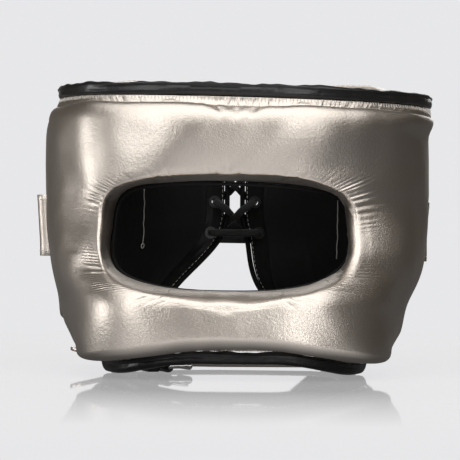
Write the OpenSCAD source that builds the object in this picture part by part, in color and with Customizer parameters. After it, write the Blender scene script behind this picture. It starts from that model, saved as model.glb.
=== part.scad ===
// Boxing headgear with a padded face bar.
// Leather over foam, a black lining and bindings, two rear halves drawn together by a lace,
// a wrap strap that turns back through a ring, two laced crown wings and an open chin strap.
// The wearer looks along -Y and +Z is up. The origin is on the floor under the middle.
// Left and right are as seen from the front, so that left is towards -X.

/* [Head cavity] */
// Half width of the cavity at the temples
cavity_half_w = 84; // [80:1:88]
// Half width of the cavity at the jaw
jaw_half_w = 79; // [76:1:82]
// Reach of the cavity ahead of the ears, at the brow
brow_reach = 74; // [70:1:78]
// Reach of the cavity ahead of the ears, behind the face bar
bar_reach = 106; // [102:1:110]
// Reach of the cavity behind the ears
rear_reach = 112; // [108:1:116]
// Reach of the cavity behind the ears, at the nape
nape_reach = 105; // [102:1:108]

/* [Heights] */
// Height of the top rim above the floor
rim_top = 182; // [176:1:188]
// Drop of the top rim from the sides to the back
rear_drop = 12; // [8:1:16]
// Height of the window's lower edge, which is the top of the face bar
bar_top = 53; // [50:1:56]
// Height of the window's upper edge
window_top = 122; // [118:1:126]
// Rise of the bottom rim under the chin
chin_arch = 8; // [6:1:10]
// Rise of the bottom rim under the ears
ear_arch = 18; // [17:1:20]

/* [Window] */
// Half of the window's width, as an angle round the cavity
window_half_angle = 57; // [54:1:58]
// Angle by which the window's outer edge is narrower than its seam
window_skew = 9; // [7:1:11]
// Squareness of the window's upper corners: 2 is an ellipse, more is squarer
window_square = 2.8; // [2.6:0.1:3.2]
// Squareness of the window's lower corners
window_round = 2.6; // [2.3:0.1:2.9]
// Share by which the window is wider above its middle and narrower below it
window_taper = 0.22; // [0.18:0.01:0.25]

/* [Padding] */
// Thickness of the padding in front, skin to lining
front_pad = 39; // [36:1:42]
// Thickness of the padding over the ears
side_pad = 43; // [40:1:46]
// Thickness of the padding at the back
rear_pad = 24; // [22:1:27]
// Share of the side thickness that is left at the jaw
jaw_share = 0.6; // [0.55:0.01:0.68]
// Radius of the padding's edge at the window
window_roll = 12; // [10:1:16]
// Radius of the padding's edge at the bottom
jaw_roll = 19; // [16:1:22]
// Radius of the padding's edge at the top
brow_roll = 14; // [12:1:18]
// Radius of the padding's edge at the seam with the rear half
seam_roll = 24; // [20:1:26]
// Thickness of the leather skin
skin_t = 2; // [1.5:0.1:2.4]
// Thickness of the lining
lining_t = 2; // [1.5:0.1:2.4]
// Thickness of the stiffener inside the face bar
stiffener_t = 3; // [2:0.5:3.5]
// Thickness of the soft foam between the stiffener and the lining
back_foam_t = 6; // [5:0.5:8]

/* [Rims] */
// Height of the top and bottom bindings
rim_h = 8; // [7.5:0.5:9]
// Width of the top binding, front to back
rim_w = 6; // [5:0.5:7]
// Thickness of the padding where it ends at the bottom binding
bottom_end = 7; // [6.5:0.5:8]
// Thickness of the padding at the seam in front of the rear half
seam_end = 16; // [14:1:18]
// Radius of the piping round the window
piping_r = 1.1; // [1:0.1:1.6]

/* [Ear holes] */
// Height of the ear holes' centres
ear_z = 95; // [90:1:100]
// Half of an ear hole's height
ear_half_h = 22; // [20:1:24]
// Half of an ear hole's width, as an angle round the cavity
ear_half_angle = 11; // [10:0.5:12]
// Wall of the leather sleeve in an ear hole
sleeve_t = 1.8; // [1.4:0.1:2.2]

/* [Rear closure] */
// Width of the flat lace strip
strip_w_angle = 7; // [6.5:0.5:8]
// Thickness of the lace strips
strip_t = 2.6; // [2.2:0.2:3]
// Bore radius of an eyelet
eyelet_r = 2.4; // [2.2:0.1:2.6]
// Radius of the lace
lace_r = 1.3; // [1.1:0.1:1.5]
// Height of the lowest rear eyelets
lace_low = 89; // [87:1:91]
// Step between rear eyelets
lace_step = 22; // [20:1:23]

/* [Wrap strap] */
// Height of the wrap strap at its anchors
strap_h = 41; // [38:1:44]
// Height of the strap's narrow tongue
tongue_h = 21; // [20:1:24]
// Thickness of the strap leather
strap_t = 2.2; // [1.8:0.1:2.4]
// Height of the strap's middle line
strap_z = 92; // [90:1:94]
// Radius of the ring's wire
ring_wire_r = 1.5; // [1.3:0.1:1.7]

/* [Crown] */
// Thickness of the crown wings
wing_t = 4.5; // [4:0.5:5]
// Step between crown eyelets
wing_step = 21; // [19:1:23]

/* [Chin strap] */
// Width of the chin straps
chin_w = 18; // [16:1:20]
// Thickness of the chin strap leather
chin_t = 2.2; // [1.8:0.1:2.4]
// Height of the chin studs
stud_z = 25; // [24:1:27]
// Radius of a stud's shank
stud_r = 2; // [1.8:0.1:2.4]
// Radius of the buckle's wire
buckle_wire_r = 1.3; // [1.1:0.1:1.4]
// Outer radius of the buckle's roller
roller_r = 2.4; // [2.2:0.1:2.6]

/* [Hidden] */
$fn = 40;

// Clearance between layers that lie on each other
gap = 0.35;
// Running clearance of a pin in its bore
run = 0.3;
// Angle of the seam between the face mask and a rear half
seam_angle = 100;
// Length of the flat flange between padding and binding
flange = 6;
// Drop of the lining's top edge below the cover's top edge
lining_drop = 6;
// Height where the lace strips start to spread towards the nape
spread_z = 104;
// Angle from the rear centre line to a lace strip's free edge, above the height where it spreads
strip_edge = 3.4;
// Extra angle of the free edge at the floor
strip_spread = 37;
// Distance from the padding's surface to the middle of the wrap strap at the back
strap_off = 4.4;
// The same distance where the wrap strap folds at the side
fold_off = 16;
// Distance from the lining's inner face to the middle of the lace strips
strip_mid = 7;
// Distance from a ring wire's axis to the middle of the leather that loops round it
loop_r = ring_wire_r + run + strap_t / 2;
// Distance from the widest section to the front and back faces, which centres the origin
front_face = bar_reach + front_pad;
rear_face = rear_reach + rear_pad + strap_off + 2 * loop_r + strap_t / 2;
ear_y = (front_face - rear_face) / 2;
// Steps round one side of an ear hole
ear_sections = 6;
// Steps along the mask's top edge, and along its bottom edge
edge_sections = 18;

// Plain helpers
function lerp(a, b, t) = a + (b - a) * t;
function ease(t) = let (c = min(1, max(0, t))) c * c * (3 - 2 * c);
function spow(x, p) = sign(x) * pow(abs(x), p);
function fold_angle(th) = let (a = abs(th) % 360) a > 180 ? 360 - a : a;
function sum(v) = v * [for (x = v) 1];

// Inner face of the lining: a superellipse in plan that changes with height.
// th is the angle round the cavity, 0 in front and positive towards +X.
function brow_share(z) = ease((z - bar_top + 8) / (window_top - bar_top));
function front_reach(z) = lerp(bar_reach, brow_reach, brow_share(z));
function back_reach(z) = lerp(nape_reach, rear_reach, ease(z / 90));
function half_w(z) = lerp(jaw_half_w, cavity_half_w, ease(z / 60));
function mold_r(th, z) =
    let (front = cos(th) > 0,
         b = front ? front_reach(z) : back_reach(z),
         n = front ? lerp(3, 2.4, brow_share(z)) : 2.3)
    pow(pow(abs(sin(th)) / half_w(z), n) + pow(abs(cos(th)) / b, n), -1 / n);
function mold(th, z) = let (r = mold_r(th, z)) [r * sin(th), ear_y - r * cos(th), z];
function outward(th, z) =
    let (d = mold(th + 1, z) - mold(th - 1, z), l = norm([d.x, d.y])) [d.y / l, -d.x / l, 0];
// The point h outside the lining face, at angle th and height z
function lay(th, z, h) = mold(th, z) + h * outward(th, z);

// Bottom and top rims, and the thickness of the padding
function bottom_z(th) =
    let (a = fold_angle(th))
    chin_arch * (1 - ease((a - 12) / 32)) + ear_arch * (ease((a - 52) / 30) - ease((a - 100) / 26));
function top_z(th) = rim_top - rear_drop * ease((fold_angle(th) - 95) / 65);
function jaw_cut(z) = lerp(jaw_share, 1, ease((z - 10) / 100));
function pad_h(th, z) =
    let (a = fold_angle(th),
         round_h = a < 95 ? lerp(front_pad, side_pad, ease(a / 80))
                          : lerp(side_pad, rear_pad, ease((a - 106) / 46)))
    round_h * lerp(1, jaw_cut(z), ease((a - 25) / 30));
function rim_off(th) = pad_h(th, top_z(th)) - 5;
function cover_low(th) = bottom_z(th) + rim_h + gap;
function cover_high(th) = top_z(th) - rim_h - gap;

// Solids from rings of points. A section lists one face of the layer, then the other face backwards.
// Each four-sided patch is split along its shorter diagonal.
function ring_faces(points, n, closed) = [
    let (rings = len(points) / n)
    for (i = [0 : rings - (closed ? 1 : 2)], j = [0 : n - 1])
        let (next = ((i + 1) % rings) * n, a = i * n + j, b = i * n + (j + 1) % n,
             c = next + (j + 1) % n, d = next + j,
             short = norm(points[a] - points[c]) <= norm(points[b] - points[d]))
        each (short ? [[a, b, c], [a, c, d]] : [[a, b, d], [b, c, d]])
];
function cap_faces(base, n, flip) = [
    for (j = [0 : n / 2 - 2])
        let (a = base + j, b = a + 1, d = base + n - 1 - j, c = d - 1)
        each (flip ? [[a, c, b], [a, d, c]] : [[a, b, c], [a, c, d]])
];
module loft(rings, closed = false) {
    n = len(rings[0]);
    points = [for (r = rings) each r];
    faces = concat(
        ring_faces(points, n, closed),
        closed ? [] : cap_faces(0, n, true),
        closed ? [] : cap_faces((len(rings) - 1) * n, n, false));
    volume = sum([for (f = faces) points[f[0]] * cross(points[f[1]], points[f[2]])]);
    polyhedron(points, volume < 0 ? faces : [for (f = faces) [f[2], f[1], f[0]]], convexity = 8);
}
function back_to_front(v) = [for (i = [len(v) - 1 : -1 : 0]) v[i]];
function some(v, first, last) = [for (i = [first : last]) v[i]];
function unit(v) = v / norm(v);

// A round cord along a path, with sides that don't twist
function path_tangent(p, i) = unit(p[min(i + 1, len(p) - 1)] - p[max(i - 1, 0)]);
function carry(u, t) = unit(u - (u * t) * t);
function cord_ring(p, t, u, r, sides) =
    let (v = cross(t, u), step = 360 / sides)
    [for (k = [0 : sides - 1]) p + r * (cos(step * k) * u + sin(step * k) * v)];
module cord(p, r, sides = 8) {
    t = [for (i = [0 : len(p) - 1]) path_tangent(p, i)];
    first = abs(t[0].z) < 0.9 ? [0, 0, 1] : [1, 0, 0];
    frames = [for (i = 0, u = carry(first, t[0]); i < len(p);
                   i = i + 1, u = i < len(p) ? carry(u, t[i]) : u) u];
    loft([for (i = [0 : len(p) - 1]) cord_ring(p[i], t[i], frames[i], r, sides)]);
}
// A smooth path through the points of p, with n steps between them
function smooth_path(p, n) = concat(
    [for (i = [0 : len(p) - 2], k = [0 : n - 1])
        let (a = p[max(i - 1, 0)], b = p[i], c = p[i + 1], d = p[min(i + 2, len(p) - 1)], t = k / n)
        b + ((c - a) * t + (2 * a - 5 * b + 4 * c - d) * t * t + (3 * b - a - 3 * c + d) * t * t * t) / 2],
    [p[len(p) - 1]]);
// A flat ribbon in plan or section: an outline with thickness t about the path
function ribbon(p, t) =
    let (side = [for (i = [0 : len(p) - 1])
                 let (d = unit(p[min(i + 1, len(p) - 1)] - p[max(i - 1, 0)])) [-d.y, d.x] * t / 2])
    concat([for (i = [0 : len(p) - 1]) p[i] + side[i]], [for (i = [len(p) - 1 : -1 : 0]) p[i] - side[i]]);

// Rows of heights from the bottom rim to the top rim, which pass round the ear hole:
// three below it, seven round it and four above it
row_count = ear_sections + 8;
function row_z(j, low, high) =
    j < 3 ? lerp(low, ear_z - ear_half_h, j / 3)
    : j <= 3 + ear_sections ? ear_z - ear_half_h * cos(180 * (j - 3) / ear_sections)
    : lerp(ear_z + ear_half_h, high, (j - 3 - ear_sections) / 4);
seam_low = cover_low(seam_angle);
seam_high = cover_high(seam_angle);
function seam_z(j) = row_z(j, seam_low, seam_high);
function ear_notch(z) = ear_half_angle * sqrt(max(0, 1 - pow((z - ear_z) / ear_half_h, 2)));
function seam_end_h(z) =
    lerp(lerp(bottom_end, seam_end, ease((z - seam_low) / 30)),
         rim_off(seam_angle), ease((z - seam_high + 30) / 30));
function drop_share(z) = ease((z - seam_high + 36) / 36);

// The face mask is a ring of padding round the window. Each spoke runs from the window's seam
// to the mask's outer edge: [angle round the window, edge angle, edge height, end thickness,
// share of the lining's drop, length of the outer roll].
window_mid = (bar_top + window_top) / 2;
window_half_h = (window_top - bar_top) / 2;
function window_power(phi) = 2 / (sin(phi) > 0 ? window_square : window_round);
function window_angle(phi, inset) =
    (window_half_angle - inset) * spow(cos(phi), window_power(phi)) * (1 + window_taper * sin(phi));
function window_height(phi, inset) =
    window_mid + (window_half_h - inset) * spow(sin(phi), window_power(phi));
// A point near the window's edge moves towards its middle as it stands out
function skewed(th, h) = th * (1 - window_skew * h / front_pad / window_half_angle);
function side_spokes(dir) =
    [for (j = [0 : row_count - 1])
        let (up = -45 + 90 * j / (row_count - 1), z = seam_z(j), k = drop_share(z))
        [dir > 0 ? up : 180 - up, dir * (seam_angle - ear_notch(z)), z, seam_end_h(z),
         k, lerp(seam_roll, brow_roll, k)]];
function edge_spokes(top) =
    [for (j = [1 : edge_sections - 1])
        let (phi = (top ? 45 : 225) + 90 * j / edge_sections,
             th = lerp(seam_angle, -seam_angle, j / edge_sections) * (top ? 1 : -1))
        top ? [phi, th, cover_high(th), rim_off(th), 1, brow_roll]
            : [phi, th, cover_low(th), bottom_end, 0, jaw_roll]];
spokes = concat(side_spokes(1), edge_spokes(true), back_to_front(side_spokes(-1)), edge_spokes(false));
top_start = row_count;
left_start = top_start + edge_sections - 1;
bar_start = left_start + row_count;
spoke_count = bar_start + edge_sections - 1;

// A spoke between two neighbours, so that foam pieces can end anywhere
function spoke(i) =
    let (lo = floor(i), a = spokes[(lo + spoke_count) % spoke_count],
         b = spokes[(lo + 1 + spoke_count) % spoke_count],
         turn = b[0] < a[0] - 180 ? [360, 0, 0, 0, 0, 0] : [0, 0, 0, 0, 0, 0])
    lerp(a, b + turn, i - lo);
function spoke_len(s) =
    norm(lay(window_angle(s[0], 0), window_height(s[0], 0), front_pad / 2) - lay(s[1], s[2], front_pad / 2));
// The flat flange is longer at the top of the sides, where the padding's corners are rounder
function flange_len(s) = flange + 5 * s[4] * ease((abs(s[1]) - 45) / 45);
// The rounded section of the padding:
// [share of the way along the spoke, share of full height, share of end height]
function section_marks(s, inset) =
    let (l = spoke_len(s), start = inset / l, flat_end = 1 - min(flange_len(s), l / 6) / l,
         room = 0.47 * (flat_end - start), roll_in = start + min(window_roll / l, room),
         roll_out = flat_end - min(s[5] / l, room))
    concat([for (a = [0 : 30 : 90]) [lerp(start, roll_in, 1 - cos(a)), sin(a), 0]],
           [[(roll_in + roll_out) / 2, 1, 0]],
           [for (a = [0 : 30 : 90]) [lerp(roll_out, flat_end, sin(a)), cos(a), 1 - cos(a)]],
           [[1, 0, 1]]);
// Lowest point of the padding at the window's seam, outside the lining's inner face
seam_h = lining_t + gap + 1.5;
// The point at mark m of spoke s. A point that stands out also moves towards the window's middle.
function mask_point(s, m, h, drop) =
    let (th = lerp(skewed(window_angle(s[0], 0), h), s[1], m[0]),
         z = lerp(window_height(s[0], 0), s[2] - drop * s[4], m[0]))
    lay(th, z, h);
function outer_h(s, m, inset) =
    let (th = lerp(window_angle(s[0], 0), s[1], m[0]), z = lerp(window_height(s[0], 0), s[2], m[0]),
         full = pad_h(th, z) - inset)
    m[2] > 0 ? m[1] * full + m[2] * (s[3] - inset) : lerp(seam_h, full, m[1]);
function outer_path(s, inset) =
    [for (m = section_marks(s, inset)) mask_point(s, m, outer_h(s, m, inset), 0)];
// A path through the same marks at one height, whose outer edge drops like the lining's
function level_path(s, h, inset) =
    [for (m = section_marks(s, inset)) mask_point(s, [m[0], 0, 0], h, lining_drop)];
// The lining needs fewer marks
lining_marks = [0, 2, 4, 6, 8, 9];
function lining_path(s, h) =
    let (marks = section_marks(s, 0)) [for (j = lining_marks) mask_point(s, marks[j], h, lining_drop)];
// Foam starts a little off the lining, because both are made of flat patches
foam_h = lining_t + 3 * gap;
function foam_ring(s, inset) = concat(outer_path(s, inset), back_to_front(level_path(s, foam_h, inset)));

module face_cover() {
    color([0.72, 0.66, 0.61])
    loft([for (s = spokes) concat(outer_path(s, 0), back_to_front(outer_path(s, skin_t)))], closed = true);
}
module face_lining() {
    color([0.08, 0.08, 0.085])
    loft([for (s = spokes) concat(lining_path(s, lining_t), back_to_front(lining_path(s, 0)))],
         closed = true);
}
// Foam from spoke a to spoke b, each end drawn back by a share of a spoke so that neighbours don't touch
foam_end = 0.14;
module mask_foam(a, b) {
    color([0.85, 0.84, 0.8])
    loft([for (i = [a : b])
        foam_ring(spoke(i == a ? a + foam_end : i == b ? b - foam_end : i), skin_t + gap)]);
}
// The face bar's foam is in two layers with the stiffener between them
bar_first = bar_start + 2;
bar_last = spoke_count - 3;
function bar_spoke(i) = spoke(i == bar_first ? i + foam_end : i == bar_last ? i - foam_end : i);
back_top = foam_h + back_foam_t;
front_low = back_top + stiffener_t + 2 * gap;
function bar_front_ring(s) =
    let (inset = skin_t + gap, marks = some(section_marks(s, inset), 1, 7))
    concat([for (m = marks) mask_point(s, m, outer_h(s, m, inset), 0)],
           back_to_front([for (m = marks) mask_point(s, m, front_low, 0)]));
function bar_back_ring(s) =
    let (inset = skin_t + gap, marks = section_marks(s, inset))
    concat([for (m = marks) mask_point(s, m, min(back_top, outer_h(s, m, inset)), 0)],
           back_to_front([for (m = marks) mask_point(s, m, foam_h, 0)]));
function bar_plate_ring(s) =
    let (marks = some(section_marks(s, skin_t + gap), 2, 6))
    concat([for (m = marks) mask_point(s, m, back_top + gap + stiffener_t, 0)],
           back_to_front([for (m = marks) mask_point(s, m, back_top + gap, 0)]));
module bar_foam_front() {
    color([0.8, 0.79, 0.75])
    loft([for (i = [bar_first : bar_last]) bar_front_ring(bar_spoke(i))]);
}
module bar_foam_back() {
    color([0.88, 0.87, 0.83])
    loft([for (i = [bar_first : bar_last]) bar_back_ring(bar_spoke(i))]);
}
module bar_stiffener() {
    color([0.2, 0.22, 0.25])
    loft([for (i = [bar_first + 1 : bar_last - 1]) bar_plate_ring(spoke(i))]);
}
module window_piping() {
    r = piping_r;
    clear = r + gap + 0.5;
    per_degree = cavity_half_w * PI / 180;
    color([0.06, 0.06, 0.06])
    loft([for (s = spokes)
        let (phi = s[0], c = piping_point(phi, clear, per_degree),
             p = piping_point(phi, clear + r, per_degree),
             side = unit(p - c), up = outward(window_angle(phi, 0), c.z))
        [for (k = [0 : 5]) c + r * (cos(60 * k) * side + sin(60 * k) * up)]], closed = true);
}
function piping_point(phi, inset, per_degree) =
    lay(skewed(window_angle(phi, inset / per_degree), lining_t), window_height(phi, inset), lining_t);

// Bindings: sections in (distance outside the lining face, height)
function rim_ring(th, z, outline) = [for (q = outline) lay(th, z + q.y, q.x)];
function top_outline(th) =
    let (o = rim_off(th) + 1.4, i = o - rim_w)
    [[i, 1.2], [i, rim_h - 1.6], [i + 1.4, rim_h], [o - 1.4, rim_h],
     [o, rim_h - 1.8], [o, 1.6], [o - 1.2, 0], [i + 1, 0]];
bottom_outline = [[0.2, 1.8], [0.2, rim_h - 1], [1.2, rim_h], [bottom_end - 0.6, rim_h],
    [bottom_end + 1.4, rim_h - 1.6], [bottom_end + 1.4, 2], [bottom_end - 0.6, 0], [1.8, 0]];
function strip_free(z) = 180 - strip_edge - strip_spread * pow(max(0, (spread_z - z) / spread_z), 1.7);
function strip_sewn(z) = strip_free(z) - strip_w_angle;
rear_stop = strip_free(0) - 0.6;
rear_top_stop = strip_free(rim_top) - 0.6;
rear_columns = 7;
// Angle of column c at row j of a rear half, its edges drawn back by an inset
function rear_angle(c, j, inset) =
    lerp(seam_angle + ear_notch(seam_z(j)) + 0.35 + inset * 0.6,
         strip_sewn(row_z(j, cover_low(160), cover_high(160))) - 0.2 - inset * 0.5, c / rear_columns);
// Angles of the rims, which bend where the covers do
function rim_angles(row, stop) =
    let (rear = concat([seam_angle], [for (c = [1 : rear_columns]) rear_angle(c, row, 0)], [stop]),
         front = [for (j = [0 : edge_sections]) lerp(-seam_angle, seam_angle, j / edge_sections)])
    concat(back_to_front(-rear), [for (j = [1 : edge_sections - 1]) front[j]], rear);
module top_binding() {
    color([0.05, 0.05, 0.05])
    loft([for (th = rim_angles(row_count - 1, rear_top_stop))
          rim_ring(th, top_z(th) - rim_h, top_outline(th))]);
}
module bottom_binding() {
    color([0.05, 0.05, 0.05])
    loft([for (th = rim_angles(0, rear_stop)) rim_ring(th, bottom_z(th), bottom_outline)]);
}
// The black slope from the top binding down to the lining
gusset_t = 1.8;
function gusset_ring(th) =
    let (o = rim_off(th) + 1.4 - rim_w - gap, z = top_z(th) - rim_h + 0.6)
    [lay(th, z + gusset_t, o), lay(th, z + gusset_t - lining_drop / 2, o / 2),
     lay(th, z + gusset_t - lining_drop, 0.2), lay(th, z - lining_drop, 0.2),
     lay(th, z - lining_drop / 2, o / 2), lay(th, z, o)];
module top_gusset() {
    all = rim_angles(row_count - 1, rear_top_stop);
    color([0.07, 0.07, 0.07])
    loft([for (i = [1 : len(all) - 2]) gusset_ring(all[i])]);
}
module ear_sleeve(dir) {
    n = 2 * ear_sections;
    color([0.07, 0.07, 0.07])
    loft([for (i = [0 : n - 1])
        let (a = 360 * i / n, half_a = ear_half_angle - 0.5, half_z = ear_half_h - gap - 0.3,
             th = dir * (seam_angle + half_a * cos(a)), z = ear_z + half_z * sin(a),
             th_in = dir * (seam_angle + (half_a - sleeve_t * 0.6) * cos(a)),
             z_in = ear_z + (half_z - sleeve_t) * sin(a))
        [lay(th, z, 0.2), lay(th, z, seam_end - 0.5), lay(th_in, z_in, seam_end + 1), lay(th_in, z_in, 0.2)]],
        closed = true);
}

// A rear half: columns run from the mask's seam to the lace strip, rows from bottom to top.
// Its thickness rolls down to the seam, to the lace strip and to the two rims.
function edge_roll(d, r) = let (t = min(1, max(0, d / r))) sqrt(1 - (1 - t) * (1 - t));
function rear_h(a, z, start, end) =
    let (h = pad_h(a, z))
    min(lerp(seam_end_h(z), h, edge_roll((a - start) * 1.7, seam_roll)),
        lerp(strip_mid + strip_t / 2 + 0.5, h, edge_roll((end - a) * 1.9, jaw_roll)),
        lerp(bottom_end, h, edge_roll(z - cover_low(a), jaw_roll)),
        lerp(rim_off(a), h, edge_roll(cover_high(a) - z, brow_roll)));
// Where the rear half is thin, its upper edge goes down as the gusset does
function rear_outer(dir, c, j, inset) =
    let (a = rear_angle(c, j, 0), b = rear_angle(c, j, inset),
         z = row_z(j, cover_low(a), cover_high(a)),
         h = rear_h(a, z, rear_angle(0, j, 0), rear_angle(rear_columns, j, 0)),
         drop = lining_drop * max(0, 1 - h / rim_off(a)))
    lay(dir * b, row_z(j, cover_low(b), cover_high(b) - drop), max(h - inset, foam_h + 0.5));
function rear_level(dir, c, j, inset, h) =
    let (a = rear_angle(c, j, inset)) lay(dir * a, row_z(j, cover_low(a), cover_high(a) - lining_drop), h);
rear_rows = [0 : row_count - 1];
module rear_cover(dir) {
    color([0.72, 0.66, 0.61])
    // The columns of both halves run the same way round
    loft([for (c = dir < 0 ? [0 : rear_columns] : [rear_columns : -1 : 0])
        concat([for (j = rear_rows) rear_outer(dir, c, j, 0)],
               back_to_front([for (j = rear_rows) rear_outer(dir, c, j, skin_t)]))]);
}
module rear_foam(dir) {
    inset = skin_t + gap;
    color([0.85, 0.84, 0.8])
    loft([for (c = [0 : rear_columns])
        concat([for (j = rear_rows) rear_outer(dir, c, j, inset)],
               back_to_front([for (j = rear_rows) rear_level(dir, c, j, inset, foam_h)]))]);
}
module rear_lining(dir) {
    color([0.08, 0.08, 0.085])
    loft([for (c = [0 : rear_columns])
        concat([for (j = rear_rows) rear_level(dir, c, j, 0, lining_t)],
               back_to_front([for (j = rear_rows) rear_level(dir, c, j, 0, 0)]))]);
}

// The lace strips, their free edges, eyelets and lace
eyelet_count = 4;
function strip_top() = cover_high(170) - 2;
function strip_bottom() = cover_low(150) + 1;
function eyelet_angle(z) = strip_free(z) - strip_w_angle * 0.5;
function eyelet_z(i) = lace_low + lace_step * i;
module strip_body(dir) {
    n = 16;
    inset = 0.3;
    loft([for (i = [0 : n])
        let (z = lerp(strip_bottom(), strip_top(), i / n),
             a = strip_sewn(z) + inset, b = strip_free(z) - inset,
             m = (a + b) / 2, o = strip_mid + strip_t / 2, l = strip_mid - strip_t / 2)
        [lay(dir * a, z, o), lay(dir * m, z, o), lay(dir * b, z, o),
         lay(dir * b, z, l), lay(dir * m, z, l), lay(dir * a, z, l)]]);
}
module on_strip(dir, z) {
    th = dir * eyelet_angle(z);
    up = outward(th, z);
    translate(lay(th, z, strip_mid)) rotate([0, 90, atan2(up.y, up.x)]) children();
}
module lace_strip(dir) {
    color([0.07, 0.07, 0.07])
    difference() {
        strip_body(dir);
        for (i = [0 : eyelet_count - 1]) on_strip(dir, eyelet_z(i))
            cylinder(r = eyelet_r + 0.8, h = 4 * strip_t, center = true);
    }
}
// A pressed eyelet through leather of thickness t, standing along Z
module eyelet(t) {
    lip = 0.6;
    difference() {
        union() {
            cylinder(r = eyelet_r + 0.6, h = t + 2 * lip + 0.6, center = true);
            for (s = [-1, 1]) translate([0, 0, s * (t / 2 + 0.3 + lip / 2)])
                cylinder(r = eyelet_r + 1.9, h = lip, center = true);
        }
        cylinder(r = eyelet_r, h = 2 * t + 4, center = true);
    }
}
module rear_eyelets() {
    color([0.05, 0.05, 0.05])
    for (dir = [-1, 1], i = [0 : eyelet_count - 1]) on_strip(dir, eyelet_z(i)) eyelet(strip_t);
}
edge_r = 1.8;
edge_shift = 0.75;
module rear_edge(dir) {
    n = 20;
    color([0.05, 0.05, 0.05])
    loft([for (i = [0 : n])
        let (z = lerp(strip_bottom(), strip_top(), i / n), th = dir * (strip_free(z) + edge_shift),
             c = lay(th, z, strip_mid), up = outward(th, z), side = cross(up, [0, 0, 1]))
        [for (k = [0 : 5]) c + edge_r * (cos(60 * k) * side + sin(60 * k) * up)]]);
}
// The lace's two strands. Each comes out of an eyelet, crosses the gap over one edge and under the
// other, and rises through the next eyelet; one strand passes outside the other in the middle.
lace_off = strip_t / 2 + 0.9 + gap + lace_r;
edge_off = edge_r + gap + lace_r + 0.7;
function lace_leg(dir, i, over) =
    let (a = eyelet_z(i), b = eyelet_z(i + 1), th_a = dir * eyelet_angle(a), th_b = dir * eyelet_angle(b),
         near = lerp(a, b, 0.27), far = lerp(a, b, 0.73))
    [lay(th_a, a, strip_mid), lay(th_a, a, strip_mid + lace_off),
     lay(dir * (strip_free(near) + edge_shift), near, strip_mid + edge_off),
     lay(180, (a + b) / 2, strip_mid + over * (lace_r + 0.25)),
     lay(-dir * (strip_free(far) + edge_shift), far, strip_mid - edge_off),
     lay(-th_b, b, strip_mid - lace_off)];
function lace_strand(dir) = concat(
    [lay(180, eyelet_z(0), strip_mid - lace_off - 0.6),
     lay(dir * eyelet_angle(eyelet_z(0)), eyelet_z(0), strip_mid - lace_off)],
    [for (i = [0 : eyelet_count - 2]) each lace_leg(dir * (i % 2 == 0 ? 1 : -1), i, dir)],
    let (last = dir * (eyelet_count % 2 == 1 ? 1 : -1), z = eyelet_z(eyelet_count - 1))
    [lay(last * eyelet_angle(z), z, strip_mid), lay(last * eyelet_angle(z), z, strip_mid + lace_off),
     lay(last * 177.8, z + 5, strip_mid + edge_off + 1)]);
module lace_knot(p, up) {
    translate(p) rotate([0, 90, atan2(up.y, up.x)]) rotate_extrude()
        polygon([[0, -3.4], [3.4, -3], [5, -1.4], [5, 1.4], [3.4, 3], [0, 3.4]]);
}
module rear_lace() {
    left = lace_strand(-1);
    right = lace_strand(1);
    color([0.04, 0.04, 0.04])
    union() {
        cord(smooth_path(concat(back_to_front(left), some(right, 1, len(right) - 1)), 3), lace_r, 6);
        lace_knot(lay(180, eyelet_z(eyelet_count - 1) + 5.5, strip_mid + edge_off + 1.4), [0, 1, 0]);
    }
}

// Crown wings: [share of the half width, height above the rim] across, front and back edges in Y
wing_marks = [[1, 1.2 - rim_h], [0.94, -1.6], [0.84, 1.4], [0.6, 0.4], [0.32, -6], [0.1, -6]];
wing_reach = cavity_half_w + 24;
function wing_front(x) = ear_y + lerp(-24, -44, x / wing_reach);
function wing_back(x) = ear_y + lerp(52, 62, x / wing_reach);
wing_rows = 8;
function wing_point(dir, row, m, lift) =
    let (x = wing_reach * m[0], t = row / wing_rows, bow = pow(abs(2 * t - 1), 3))
    [dir * (x - 22 * bow * max(0, m[0] - 0.5)), lerp(wing_front(x), wing_back(x), t),
     rim_top + m[1] + lift - (m[0] > 0.5 ? 1.4 * bow * (1 - m[0]) : 0)];
module wing_body(dir) {
    loft([for (row = [0 : wing_rows])
        concat([for (m = wing_marks) wing_point(dir, row, m, wing_t)],
               back_to_front([for (m = wing_marks) wing_point(dir, row, m, 0)]))]);
}
wing_eyelet_x = wing_reach * 0.165;
function wing_eyelet(i) = ear_y + 13 + wing_step * (i - 1);
wing_eyelet_z = rim_top + wing_marks[5][1] + wing_t / 2;
module crown_wing(dir) {
    color([0.72, 0.66, 0.61])
    difference() {
        wing_body(dir);
        for (i = [0 : 2]) translate([dir * wing_eyelet_x, wing_eyelet(i), wing_eyelet_z])
            cylinder(r = eyelet_r + 0.8, h = 4 * wing_t, center = true);
    }
}
module crown_eyelets() {
    color([0.05, 0.05, 0.05])
    for (dir = [-1, 1], i = [0 : 2]) translate([dir * wing_eyelet_x, wing_eyelet(i), wing_eyelet_z])
        eyelet(wing_t);
}
crown_lace_off = wing_t / 2 + 0.9 + gap + lace_r;
wing_edge_x = wing_reach * 0.1;
function crown_leg(dir, i, over) =
    let (a = wing_eyelet(i), b = wing_eyelet(i + 1))
    [[dir * wing_eyelet_x, a, wing_eyelet_z], [dir * wing_eyelet_x, a, wing_eyelet_z + crown_lace_off],
     [dir * wing_edge_x, lerp(a, b, 0.2), wing_eyelet_z + crown_lace_off],
     [0, (a + b) / 2, wing_eyelet_z + over * (lace_r + 0.25)],
     [-dir * wing_edge_x, lerp(a, b, 0.8), wing_eyelet_z - crown_lace_off],
     [-dir * wing_eyelet_x, b, wing_eyelet_z - crown_lace_off]];
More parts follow.
